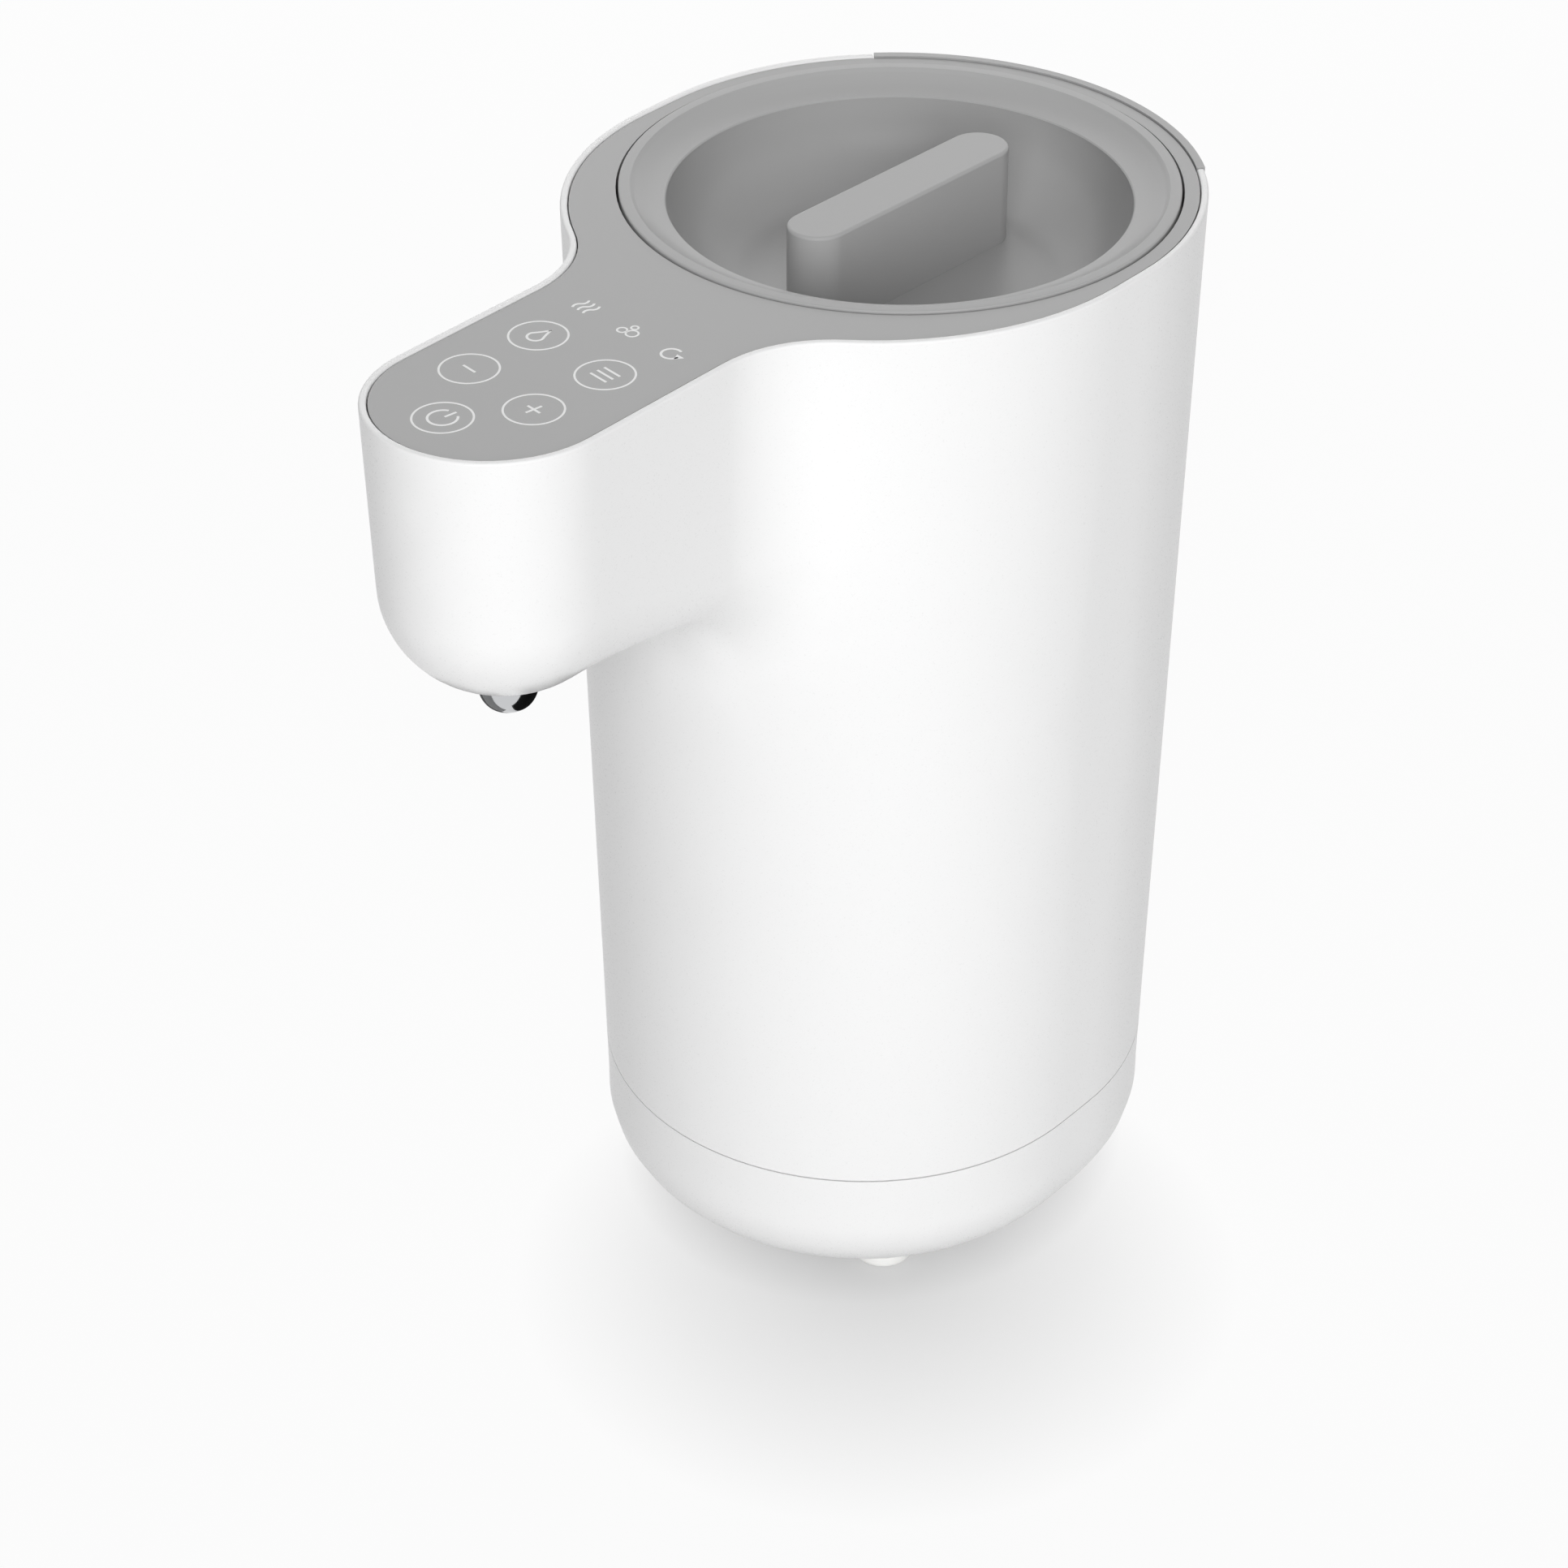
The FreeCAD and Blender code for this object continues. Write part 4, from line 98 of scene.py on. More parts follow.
class FormulaMakerSizes(bpy.types.PropertyGroup):
    """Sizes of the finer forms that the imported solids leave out"""

    rim_round: bpy.props.FloatProperty(
        name="Rim round", description="Radius along the upper edge of the white housing",
        default=0.55 * MM, min=0.05 * MM, max=0.7 * MM, unit="LENGTH")
    base_round: bpy.props.FloatProperty(
        name="Base round", description="Radius of the rounding under the base",
        default=22.3 * MM, unit="LENGTH")
    base_fill: bpy.props.FloatProperty(
        name="Base fill", description="How far the base's rounding is fuller than a quarter circle",
        default=0.95 * MM, unit="LENGTH")
    crown_width: bpy.props.FloatProperty(
        name="Crown width", description="Width of the raised ring round the lid",
        default=2.4 * MM, unit="LENGTH")
    crown_step: bpy.props.FloatProperty(
        name="Crown step", description="Height of the crease inside the lid's crown",
        default=0.5 * MM, unit="LENGTH")
    slope_drop: bpy.props.FloatProperty(
        name="Slope drop", description="Height that the hollow slope falls between crown and bowl",
        default=2.9 * MM, unit="LENGTH")
    slope_sag: bpy.props.FloatProperty(
        name="Slope sag", description="Depth of the slope's hollow",
        default=0.5 * MM, unit="LENGTH")
    bowl_edge: bpy.props.FloatProperty(
        name="Bowl edge", description="Radius of the edge where the lid's bowl begins",
        default=46.4 * MM, unit="LENGTH")
    bowl_floor: bpy.props.FloatProperty(
        name="Bowl floor", description="Radius of the bowl's flat floor",
        default=31.0 * MM, unit="LENGTH")
    bowl_depth: bpy.props.FloatProperty(
        name="Bowl depth", description="Height from the bowl's floor to the top of the lid",
        default=21.0 * MM, unit="LENGTH")
    bar_length: bpy.props.FloatProperty(
        name="Bar length", description="Length of the grip bar across the bowl",
        default=60.4 * MM, unit="LENGTH")
    bar_width: bpy.props.FloatProperty(
        name="Bar width", description="Width of the grip bar",
        default=12.4 * MM, unit="LENGTH")
    bar_drop: bpy.props.FloatProperty(
        name="Bar drop", description="How far the grip bar's top lies below the touch panel",
        default=0.3 * MM, unit="LENGTH")
    bar_turn: bpy.props.FloatProperty(
        name="Bar turn", description="Angle between the grip bar and the machine's long axis",
        default=math.radians(-2.1), subtype="ANGLE")
    bar_round: bpy.props.FloatProperty(
        name="Bar round", description="Radius along the grip bar's upper edge",
        default=0.7 * MM, unit="LENGTH")
    ring_radius: bpy.props.FloatProperty(
        name="Ring radius", description="Radius of the printed ring round each touch mark",
        default=5.57 * MM, unit="LENGTH")
    line_width: bpy.props.FloatProperty(
        name="Line width", description="Width of the printed rings",
        default=0.42 * MM, unit="LENGTH")
    stroke_width: bpy.props.FloatProperty(
        name="Stroke width", description="Width of the strokes in the printed symbols",
        default=0.5 * MM, unit="LENGTH")
    ink_height: bpy.props.FloatProperty(
        name="Ink height", description="Thickness of the printed ink",
        default=0.03 * MM, unit="LENGTH")


class FormulaMakerColours(bpy.types.PropertyGroup):
    """Colours of the finishes that show from outside"""

    shell: bpy.props.FloatVectorProperty(
        name="Shell", description="White ABS of the housing and base", subtype="COLOR",
        default=linear("F3F3F3"), min=0, max=1)
    panel: bpy.props.FloatVectorProperty(
        name="Panel", description="Grey ABS of the touch panel and rear cover", subtype="COLOR",
        default=linear("AAAAAA"), min=0, max=1)
    lid: bpy.props.FloatVectorProperty(
        name="Lid", description="Grey ABS of the lid", subtype="COLOR",
        default=linear("AAAAAA"), min=0, max=1)
    ink: bpy.props.FloatVectorProperty(
        name="Ink", description="Printed touch marks", subtype="COLOR",
        default=linear("F6F6F6"), min=0, max=1)
    floor: bpy.props.FloatVectorProperty(
        name="Floor", description="Pale studio floor", subtype="COLOR",
        default=linear("C6C6C6"), min=0, max=1)


# Shader nodes

def add_node(tree, kind, properties=None, inputs=None):
    """Adds a shader node; an input is given a value, or the output of another node to link."""
    node = tree.nodes.new(kind)
    for name, value in (properties or {}).items():
        setattr(node, name, value)
    for name, value in (inputs or {}).items():
        if isinstance(value, bpy.types.NodeSocket):
            tree.links.new(value, node.inputs[name])
        else:
            node.inputs[name].default_value = value
    return node


def combine(tree, operation, first, second):
    """Two values put through one operation of the math node."""
    node = add_node(tree, "ShaderNodeMath", {"operation": operation}, {0: first, 1: second})
    return node.outputs["Value"]


def ramp(tree, value, start, end, low, high):
    """Goes from low to high while a value goes from start to end, and stays level beyond them."""
    node = add_node(tree, "ShaderNodeMapRange", inputs={
        "Value": value, "From Min": start, "From Max": end, "To Min": low, "To Max": high})
    return node.outputs["Result"]


def distance(tree, place, shift, scale):
    """How far a place is from the origin once it is scaled and shifted."""
    mapping = add_node(tree, "ShaderNodeMapping", inputs={
        "Vector": place, "Location": shift, "Scale": scale})
    length = add_node(tree, "ShaderNodeVectorMath", {"operation": "LENGTH"}, {0: mapping.outputs["Vector"]})
    return length.outputs["Value"]


def seen_directly(tree):
    """1 for what the camera, gloss and glass see, and 0 for the light that falls on surfaces."""
    rays = add_node(tree, "ShaderNodeLightPath")
    seen = combine(tree, "MAXIMUM", rays.outputs["Is Camera Ray"], rays.outputs["Is Glossy Ray"])
    return combine(tree, "MAXIMUM", seen, rays.outputs["Is Transmission Ray"])


def vary_colour(tree, shader, pattern, first, second):
    """Takes the base colour from the first colour to the second by a pattern."""
    tint = add_node(tree, "ShaderNodeMix", {"data_type": "RGBA"}, {"Factor": pattern, 6: first, 7: second})
    tree.links.new(tint.outputs[2], shader.inputs["Base Color"])


def vary_surface(tree, shader, pattern, roughness, strength, depth, span=(0.0, 1.0)):
    """Takes the roughness between two values over a pattern's span, and raises the surface by it.

    Depth is in mm.
    """
    tree.links.new(ramp(tree, pattern, *span, *roughness), shader.inputs["Roughness"])
    bump = add_node(tree, "ShaderNodeBump", inputs={
        "Strength": strength, "Distance": depth * MM, "Height": pattern})
    tree.links.new(bump.outputs["Normal"], shader.inputs["Normal"])


def noise_scale(size):
    """The noise texture's scale for a pattern about a size in mm."""
    return 1 / (size * MM)


def wave_scale(pitch):
    """The wave texture's scale for bands a pitch in mm apart. At scale 1 a metre of it holds 20 radians."""
    return 2 * math.pi / (pitch * MM) / 20


# Materials

def start_material(name, inputs):
    """A material with a Principled shader whose constant inputs are set on its own sockets."""
    material = bpy.data.materials.new(name)
    material.use_nodes = True
    tree = material.node_tree
    tree.nodes.clear()
    shader = add_node(tree, "ShaderNodeBsdfPrincipled", inputs=inputs)
    add_node(tree, "ShaderNodeOutputMaterial", inputs={"Surface": shader.outputs["BSDF"]})
    return material, tree, shader


def rgba(colour, factor=1.0):
    """A colour times a factor, fully opaque."""
    return (*(channel * factor for channel in colour), 1.0)


def moulded(name, colour, roughness, inputs, grain=0.35, depth=0.004, mottle=0.99):
    """A moulded plastic: even colour with faint flow marks, and the fine grain of the tool's surface.

    Grain and depth, the size and height of the tool's texture, are in mm. Mottle is the colour's
    factor in the flow marks.
    """
    flow_mark = 35
    gloss_spread = 0.02
    material, tree, shader = start_material(name, inputs)
    place = add_node(tree, "ShaderNodeTexCoord").outputs["Object"]
    flow = add_node(tree, "ShaderNodeTexNoise", inputs={
        "Vector": place, "Scale": noise_scale(flow_mark), "Detail": 3.0, "Roughness": 0.45})
    vary_colour(tree, shader, flow.outputs["Fac"], rgba(colour, mottle), rgba(colour))
    fine = add_node(tree, "ShaderNodeTexNoise", inputs={
        "Vector": place, "Scale": noise_scale(grain), "Detail": 2.0, "Roughness": 0.6})
    vary_surface(tree, shader, fine.outputs["Fac"],
                 (roughness - gloss_spread, roughness + gloss_spread), 0.35, depth)
    return material


def worked_metal(name, colour, roughness, stretch, grain, depth, spread=0.05, scatter=0.0):
    """A metal with the marks of how it was made: noise stretched along one axis.

    Grain and depth, the size and height of the marks, are in mm. Spread is how far they change the
    roughness. Scatter is the share of light that the finest scratches throw off every way.
    """
    material, tree, shader = start_material(name, {
        "Base Color": rgba(colour), "Metallic": 1 - scatter})
    place = add_node(tree, "ShaderNodeTexCoord").outputs["Object"]
    drawn = add_node(tree, "ShaderNodeMapping", inputs={"Vector": place, "Scale": stretch})
    marks = add_node(tree, "ShaderNodeTexNoise", inputs={
        "Vector": drawn.outputs["Vector"], "Scale": noise_scale(grain), "Detail": 4.0, "Roughness": 0.65})
    vary_surface(tree, shader, marks.outputs["Fac"],
                 (roughness - spread, roughness + spread), 0.3, depth, span=(0.3, 0.7))
    return material


def banded(name, dark, light, roughness, pitch, axis, inputs):
    """A sleeve or winding: bands across its length, pitch mm apart along the axis."""
    relief = 0.05
    material, tree, shader = start_material(name, inputs)
    place = add_node(tree, "ShaderNodeTexCoord").outputs["Object"]
    bands = add_node(tree, "ShaderNodeTexWave", {"bands_direction": axis}, {
        "Vector": place, "Scale": wave_scale(pitch), "Distortion": 0.6, "Detail": 2.0})
    vary_colour(tree, shader, bands.outputs["Fac"], rgba(dark), rgba(light))
    vary_surface(tree, shader, bands.outputs["Fac"], (roughness, roughness + 0.1), 0.4, relief)
    return material


def silicone(name, colour):
    """Moulded silicone: soft, slightly see-through, with a dusty sheen."""
    inputs = {"IOR": 1.41, "Subsurface Weight": 0.25, "Subsurface Scale": 0.8 * MM,
              "Subsurface Radius": (1.0, 0.95, 0.9), "Sheen Weight": 0.15}
    return moulded(name, colour, 0.45, inputs, grain=0.5, depth=0.006)


def laminate(name, colour):
    """Glass-cloth laminate under solder mask: glossy, with the cloth's weave just showing."""
    thread_pitch = 3.1
    material, tree, shader = start_material(name, {"IOR": 1.55, "Roughness": 0.3, "Coat Weight": 0.3})
    place = add_node(tree, "ShaderNodeTexCoord").outputs["Object"]
    threads = [add_node(tree, "ShaderNodeTexWave", {"bands_direction": axis}, {
        "Vector": place, "Scale": wave_scale(thread_pitch)}).outputs["Fac"] for axis in ("Y", "Z")]
    vary_colour(tree, shader, combine(tree, "MULTIPLY", *threads), rgba(colour), rgba(colour, 1.35))
    return material


def dress(names, material):
    """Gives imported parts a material."""
    for name in names:
        for material_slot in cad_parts[name].material_slots:
            material_slot.link = "OBJECT"
            material_slot.material = material


# Meshes

def new_object(name, bm, material):
    """Turns a finished bmesh into an object of the scene."""
    mesh = bpy.data.meshes.new(name)
    bm.to_mesh(mesh)
    bm.free()
    mesh.materials.append(material)
    made = bpy.data.objects.new(name, mesh)
    bpy.context.scene.collection.objects.link(made)
    return made


def finish_piece(name, bm, material, body, smooth_angle=35.0):
    """Turns a finished bmesh into a piece that rides on a body. Edges sharper than the angle stay sharp."""
    piece = new_object(name, bm, material)
    mesh = piece.data
    packed_normals = mesh.attributes.get("custom_normal")
    if packed_normals:
        mesh.attributes.remove(packed_normals)
    for polygon in mesh.polygons:
        polygon.use_smooth = True
    mesh.set_sharp_from_angle(angle=math.radians(smooth_angle))
    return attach(piece, body)


def even_normals(piece):
    """Weights a piece's normals by face area, so that flat faces beside narrow rounds stay flat."""
    weighting = piece.modifiers.new("Even normals", "WEIGHTED_NORMAL")
    weighting.keep_sharp = True
    weighting.weight = 50


def merged_copy(node):
    """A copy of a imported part's mesh with its doubles merged."""
    bm = bmesh.new()
    bm.from_mesh(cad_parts[node].data)
    bmesh.ops.remove_doubles(bm, verts=bm.verts, dist=MERGE_DISTANCE)
    return bm


def turn_profile(bm, points, centre, steps):
    """Turns an outline of radius and height pairs all the way round the vertical axis at centre."""
    start = [bm.verts.new((centre.x + r, centre.y, z)) for r, z in points]
    edges = [bm.edges.new(pair) for pair in zip(start, start[1:])]
    bmesh.ops.spin(bm, geom=start + edges, cent=(centre.x, centre.y, 0), axis=(0, 0, 1),
                   angle=2 * math.pi, steps=steps, use_merge=True)
    bmesh.ops.remove_doubles(bm, verts=bm.verts, dist=MERGE_DISTANCE)
    bmesh.ops.recalc_face_normals(bm, faces=bm.faces)


def arc(centre_r, centre_z, radius_r, radius_z, start, end, steps):
    """Radius and height pairs along part of an ellipse; angles in degrees from the outward way."""
    points = []
    for i in range(steps + 1):
        angle = math.radians(start + (end - start) * i / steps)
        points.append((centre_r + radius_r * math.cos(angle), centre_z + radius_z * math.sin(angle)))
    return points


# Touch marks, drawn flat about the origin and then placed

def since(bm, count):
    """The vertices added after the first count ones."""
    bm.verts.ensure_lookup_table()
    return bm.verts[count:]


def moved(bm, count, x, y, angle=0.0):
    """Turns and moves what was drawn after the first count vertices."""
    matrix = Matrix.Translation((x, y, 0)) @ Matrix.Rotation(math.radians(angle), 4, "Z")
    bmesh.ops.transform(bm, matrix=matrix, verts=since(bm, count))


def band(bm, radius, width, sweep=360.0, start=0.0, steps=72):
    """A flat band along a circle or part of one."""
    count = len(bm.verts)
    edge = [bm.verts.new((radius - width / 2, 0, 0)), bm.verts.new((radius + width / 2, 0, 0))]
    bmesh.ops.spin(bm, geom=edge + [bm.edges.new(edge)], cent=(0, 0, 0), axis=(0, 0, 1),
                   angle=math.radians(sweep), steps=steps, use_merge=sweep == 360.0)
    moved(bm, count, 0, 0, start)


def stroke(bm, length, width, y=0.0, angle=0.0):
    """A straight stroke, square-ended."""
    matrix = Matrix.Translation((0, y, 0)) @ Matrix.Rotation(math.radians(angle), 4, "Z")
    matrix = matrix @ Matrix.Diagonal((length / 2, width / 2, 1, 1))
    bmesh.ops.create_grid(bm, x_segments=1, y_segments=1, size=1.0, matrix=matrix)


def draw_drop(bm, width):
    """A drop: a ring whose upper part is drawn out to a point."""
    radius = 1.9 * MM
    taper = 0.42
    stretch = 0.95
    below = 0.6 * MM
    bmesh.ops.create_circle(bm, segments=40, radius=radius, cap_ends=True)
    for vert in bm.verts:
        rise = max(0.0, vert.co.y / radius)
        vert.co.x *= 1 - taper * rise ** 2
        vert.co.y += radius * stretch * rise ** 4
    faces = bm.faces[:]
    bmesh.ops.inset_region(bm, faces=faces, thickness=width, use_boundary=True, use_even_offset=True)
    bmesh.ops.delete(bm, geom=faces, context="FACES_ONLY")
    moved(bm, 0, 0, -below)


def draw_bars(bm, width):
    """Three level strokes, one above the other."""
    for row in (-1, 0, 1):
        stroke(bm, 4.6 * MM, width, y=row * 1.6 * MM)


def draw_minus(bm, width):
    """A level stroke."""
    stroke(bm, 3.6 * MM, width)


def draw_plus(bm, width):
    """A level stroke, and half an upright one on each side of it, so that no faces overlap."""
    draw_minus(bm, width)
    half = 1.8 * MM
    for side in (-1, 1):
        stroke(bm, half - width / 2, width, y=side * (half / 2 + width / 4), angle=90)


def draw_power(bm, width):
    """An open ring and an upright stroke in its gap."""
    band(bm, 2.75 * MM, width, sweep=300, start=120, steps=48)
    stroke(bm, 2.6 * MM, width, y=1.75 * MM, angle=90)


def draw_warmth(bm, width):
    """Three rising waves, each of two arcs."""
    radius = 1.3 * MM
    sweep = 96
    pitch = 1.6 * MM
    for column in (-1, 0, 1):
        for side in (-1, 1):
            count = len(bm.verts)
            band(bm, radius, width, sweep=sweep, start=-sweep / 2, steps=12)
            moved(bm, count, column * pitch - side * 0.87 * MM, side * 0.97 * MM, 0 if side > 0 else 180)


def draw_bubbles(bm, width):
    """Three rings of different sizes, with a thinner line."""
    for x, y, radius in ((-1.2, -0.7, 0.95), (1.15, -0.2, 1.2), (-0.3, 1.6, 0.7)):
        count = len(bm.verts)
        band(bm, radius * MM, width * 0.8, steps=32)
        moved(bm, count, x * MM, y * MM)


def draw_loop(bm, width):
    """An open ring with an arrow head."""
    radius = 1.9 * MM
    band(bm, radius, width, sweep=290, start=70, steps=40)
    count = len(bm.verts)
    bmesh.ops.create_circle(bm, segments=3, radius=1.1 * MM, cap_ends=True)
    moved(bm, count, radius, 0.1 * MM, 180)


SYMBOLS = {
    "drop": draw_drop,
    "bars": draw_bars,
    "minus": draw_minus,
    "plus": draw_plus,
    "power": draw_power,
    "warmth": draw_warmth,
    "bubbles": draw_bubbles,
    "loop": draw_loop,
}


# Operators

class FORMULA_OT_stage(bpy.types.Operator):
    """Makes the pale floor, the soft lamps, the world and the camera"""

    bl_idname = "formula.stage"
    bl_label = "Studio"

    def execute(self, context):
        self.add_floor(context.scene.formula_colours.floor)
        self.add_world(context)
        # name, place, aimed at, size in metres, power in watts
        lamps = (
            ("Front softbox", (2.08, -2.16, 1.15), (0, 0, 0.12), 2.8, 99.0),
            ("Overhead softbox", (-0.1, 0.1, 1.6), (0, 0, 0.1), 1.8, 4.7),
            ("Back fill", (-0.85, 1.0, 0.7), (0, 0, 0.12), 1.2, 15.0),
        )
        for name, place, target, size, power in lamps:
            self.add_lamp(context, name, Vector(place), Vector(target), size, power)
        # name, azimuth in degrees, width in mm, colour
        cards = (
            ("Black card", 38, 24, "000000"),
            ("Dark grey card", -168, 12, "646464"),
            ("Pale grey card", -122, 11, "B4B4B4"),
        )
        for name, azimuth, width, colour in cards:
            self.add_card(name, math.radians(azimuth), width * MM, linear(colour))
        self.add_camera(context)
        context.scene.view_settings.view_transform = "Standard"
        return {"FINISHED"}

    def add_floor(self, colour):
        """A matt floor that keeps the machine's shadow and fades into the white backdrop further out.

        Its own darker colour shows most in a pool round the machine and close to the base, as painted
        shadow besides the real one. Lengths are in metres, and a share is how white the floor looks.
        """
        # Painted shadow: a pool round the machine, its middle shifted to the front, and a band hugging the
        # base
        painted_shadow_centre_x = 0.03
        painted_shadow_radius = 0.08
        painted_shadow_share = 0.45
        open_share = 0.94
        base_squash = 0.93
        painted_contact_shadow_start = 0.038
        painted_contact_shadow_end = 0.056
        painted_contact_shadow_share = 0.6
        far_start = 0.4
        far_end = 1.5

        material = bpy.data.materials.new("Studio paper")
        material.use_nodes = True
        tree = material.node_tree
        tree.nodes.clear()
        place = add_node(tree, "ShaderNodeTexCoord").outputs["Object"]
        from_painted_shadow = distance(tree, place, (-painted_shadow_centre_x, 0, 0), (1, 1, 1))
        from_base = distance(tree, place, (0, -BASE_CENTRE.y * base_squash, 0), (1, base_squash, 1))
        # Painted shade: less white shows in the pool and near the base, so the floor's darker colour shows
        # there
        painted_shadow_mask = combine(tree, "MULTIPLY",
                       ramp(tree, from_painted_shadow, 0, painted_shadow_radius, painted_shadow_share, open_share),
                       ramp(tree, from_base, painted_contact_shadow_start, painted_contact_shadow_end, painted_contact_shadow_share, 1))
        share = combine(tree, "MAXIMUM", painted_shadow_mask, ramp(tree, from_base, far_start, far_end, 0, 1))
        share = combine(tree, "MULTIPLY", seen_directly(tree), share)
        paper = add_node(tree, "ShaderNodeBsdfDiffuse", inputs={"Color": rgba(colour)})
        white = add_node(tree, "ShaderNodeEmission", inputs={"Color": (1, 1, 1, 1), "Strength": 1.0})
        mixed = add_node(tree, "ShaderNodeMixShader", inputs={
            0: share, 1: paper.outputs["BSDF"], 2: white.outputs["Emission"]})
        add_node(tree, "ShaderNodeOutputMaterial", inputs={"Surface": mixed.outputs["Shader"]})

        bm = bmesh.new()
        bmesh.ops.create_circle(bm, segments=96, radius=12.0, cap_ends=True)
        floor = new_object("Floor", bm, material)

    def add_lamp(self, context, name, place, target, size, power):
        """A round softbox. Gloss doesn't see it, so the shells and the lid mirror the even white room."""
        lamp = bpy.data.lights.new(name, "AREA")
        lamp.shape = "DISK"
        lamp.size = size
        lamp.energy = power
        holder = bpy.data.objects.new(name, lamp)
        holder.location = place
        holder.rotation_euler = (target - place).to_track_quat("-Z", "Y").to_euler()
        holder.visible_glossy = False
        context.scene.collection.objects.link(holder)

    def add_card(self, name, azimuth, width, colour):
        """A small card beside the nozzle, seen only in its plating, as a studio would hang one."""
        fall = math.radians(40)
        reach = 13 * MM
        height = 20 * MM
        level = NOZZLE_LOW.z + 4 * MM
        away = Vector((math.cos(azimuth) * math.cos(fall),
                       math.sin(azimuth) * math.cos(fall),
                       -math.sin(fall)))
        place = NOZZLE_CENTRE + Vector((0, 0, level)) + away * reach
        turn = away.to_track_quat("Z", "Y").to_matrix().to_4x4()
        matrix = Matrix.Translation(place) @ turn @ Matrix.Diagonal((width, height, 1, 1))
        bm = bmesh.new()
        bmesh.ops.create_grid(bm, x_segments=1, y_segments=1, size=0.5, matrix=matrix)
        material = start_material(name, {"Base Color": rgba(colour), "Roughness": 1.0})[0]
        card = new_object(name, bm, material)
        card.visible_camera = False
        card.visible_diffuse = False
        card.visible_shadow = False
        card.visible_transmission = False

    def add_world(self, context):
        """White where the camera, gloss and glass see it, and a gentler light on the surfaces."""
        room_light = 0.12
        world = bpy.data.worlds.new("Studio")
        world.use_nodes = True
        tree = world.node_tree
        tree.nodes.clear()
        backdrop = add_node(tree, "ShaderNodeBackground", inputs={
            "Color": (1, 1, 1, 1), "Strength": ramp(tree, seen_directly(tree), 0, 1, room_light, 1)})
        add_node(tree, "ShaderNodeOutputWorld", inputs={"Surface": backdrop.outputs["Background"]})
        context.scene.world = world

    def add_camera(self, context):
        """A long lens on a square image, set by the photograph's perspective."""
        data = bpy.data.cameras.new("Camera")
        data.lens = 90.3
        data.sensor_width = 36.0
        data.clip_start = 0.05
        data.clip_end = 50.0
        camera = bpy.data.objects.new("Camera", data)
        place = Vector((0.4431, -0.5135, 0.5830))
        right = Vector((0.76026, 0.64962, -0.00191))
        up = Vector((-0.36704, 0.43197, 0.82382))
        back = Vector((0.53599, -0.62561, 0.56685))
        turn = Matrix((right, up, back)).transposed().to_4x4()
        camera.matrix_world = Matrix.Translation(place) @ turn
        context.scene.collection.objects.link(camera)
        context.scene.camera = camera


class FORMULA_OT_shells(bpy.types.Operator):
    """Makes the white housing with its rounded rim, the base, the touch panel and the rear cover"""

    bl_idname = "formula.shells"
    bl_label = "Shells"

    def execute(self, context):
        sizes = context.scene.formula_sizes
        colours = context.scene.formula_colours
        # ABS with a titanium white pigment, moulded in a polished tool: bright, even, softly glossy
        white = moulded("White ABS, gloss moulded", colours.shell, 0.28, {"IOR": 1.53})
        # Grey ABS moulded in a fine-textured tool: satin, with broad soft highlights
        grey = moulded("Grey ABS, satin moulded", colours.panel, 0.36, {"IOR": 1.53}, depth=0.005)
        bm = merged_copy("housing")
        self.round_rim(bm, sizes.rim_round)
        housing = finish_piece("housing_shell", bm, white, "base")
        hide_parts("housing")
        even_normals(housing)
        bm = merged_copy("base_shell")
        self.fill_out(bm, sizes)
        base = finish_piece("base_bowl", bm, white, "base")
        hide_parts("base_shell")
        even_normals(base)
        dress(["top_panel", "rear_cover"], grey)
        return {"FINISHED"}

    def fill_out(self, bm, sizes):
        """Makes the rounding under the base a little fuller, along the normals of its outer face."""
        half_wall = 1.2 * MM
        bm.normal_update()
        radius = (BASE_HIGH.x - BASE_LOW.x) / 2
        straight = (BASE_HIGH.y - BASE_LOW.y) / 2 - radius
        for vert in bm.verts:
            share = (vert.co.z - BASE_LOW.z) / sizes.base_round
            if 0 < share < 1:
                out = math.hypot(vert.co.x, max(abs(vert.co.y - BASE_CENTRE.y) - straight, 0))
                edge = radius - sizes.base_round * (1 - math.sqrt(1 - (1 - share) ** 2))
                if out > edge - half_wall:
                    vert.co += vert.normal * sizes.base_fill * math.sin(math.pi * share)

    def round_rim(self, bm, radius):
        """Clears the flat rim of needless edges, and rounds its sharp edges."""
        level_angle = math.radians(0.5)
        sharp_angle = math.radians(40)
        low = RIM_TOP - 0.05 * MM
        top = [vert for vert in bm.verts if vert.co.z > low]
        flat = [edge for edge in bm.edges if min(vert.co.z for vert in edge.verts) > low]
        bmesh.ops.dissolve_limit(bm, angle_limit=level_angle, verts=top, edges=flat,
                                 use_dissolve_boundaries=False, delimit=set())
        sharp = [edge for edge in bm.edges
                 if min(vert.co.z for vert in edge.verts) > low
                 and len(edge.link_faces) == 2 and edge.calc_face_angle() > sharp_angle]
        bmesh.ops.bevel(bm, geom=sharp, offset=radius, offset_type="OFFSET", segments=4, profile=0.5,
                        affect="EDGES", clamp_overlap=True, material=-1)


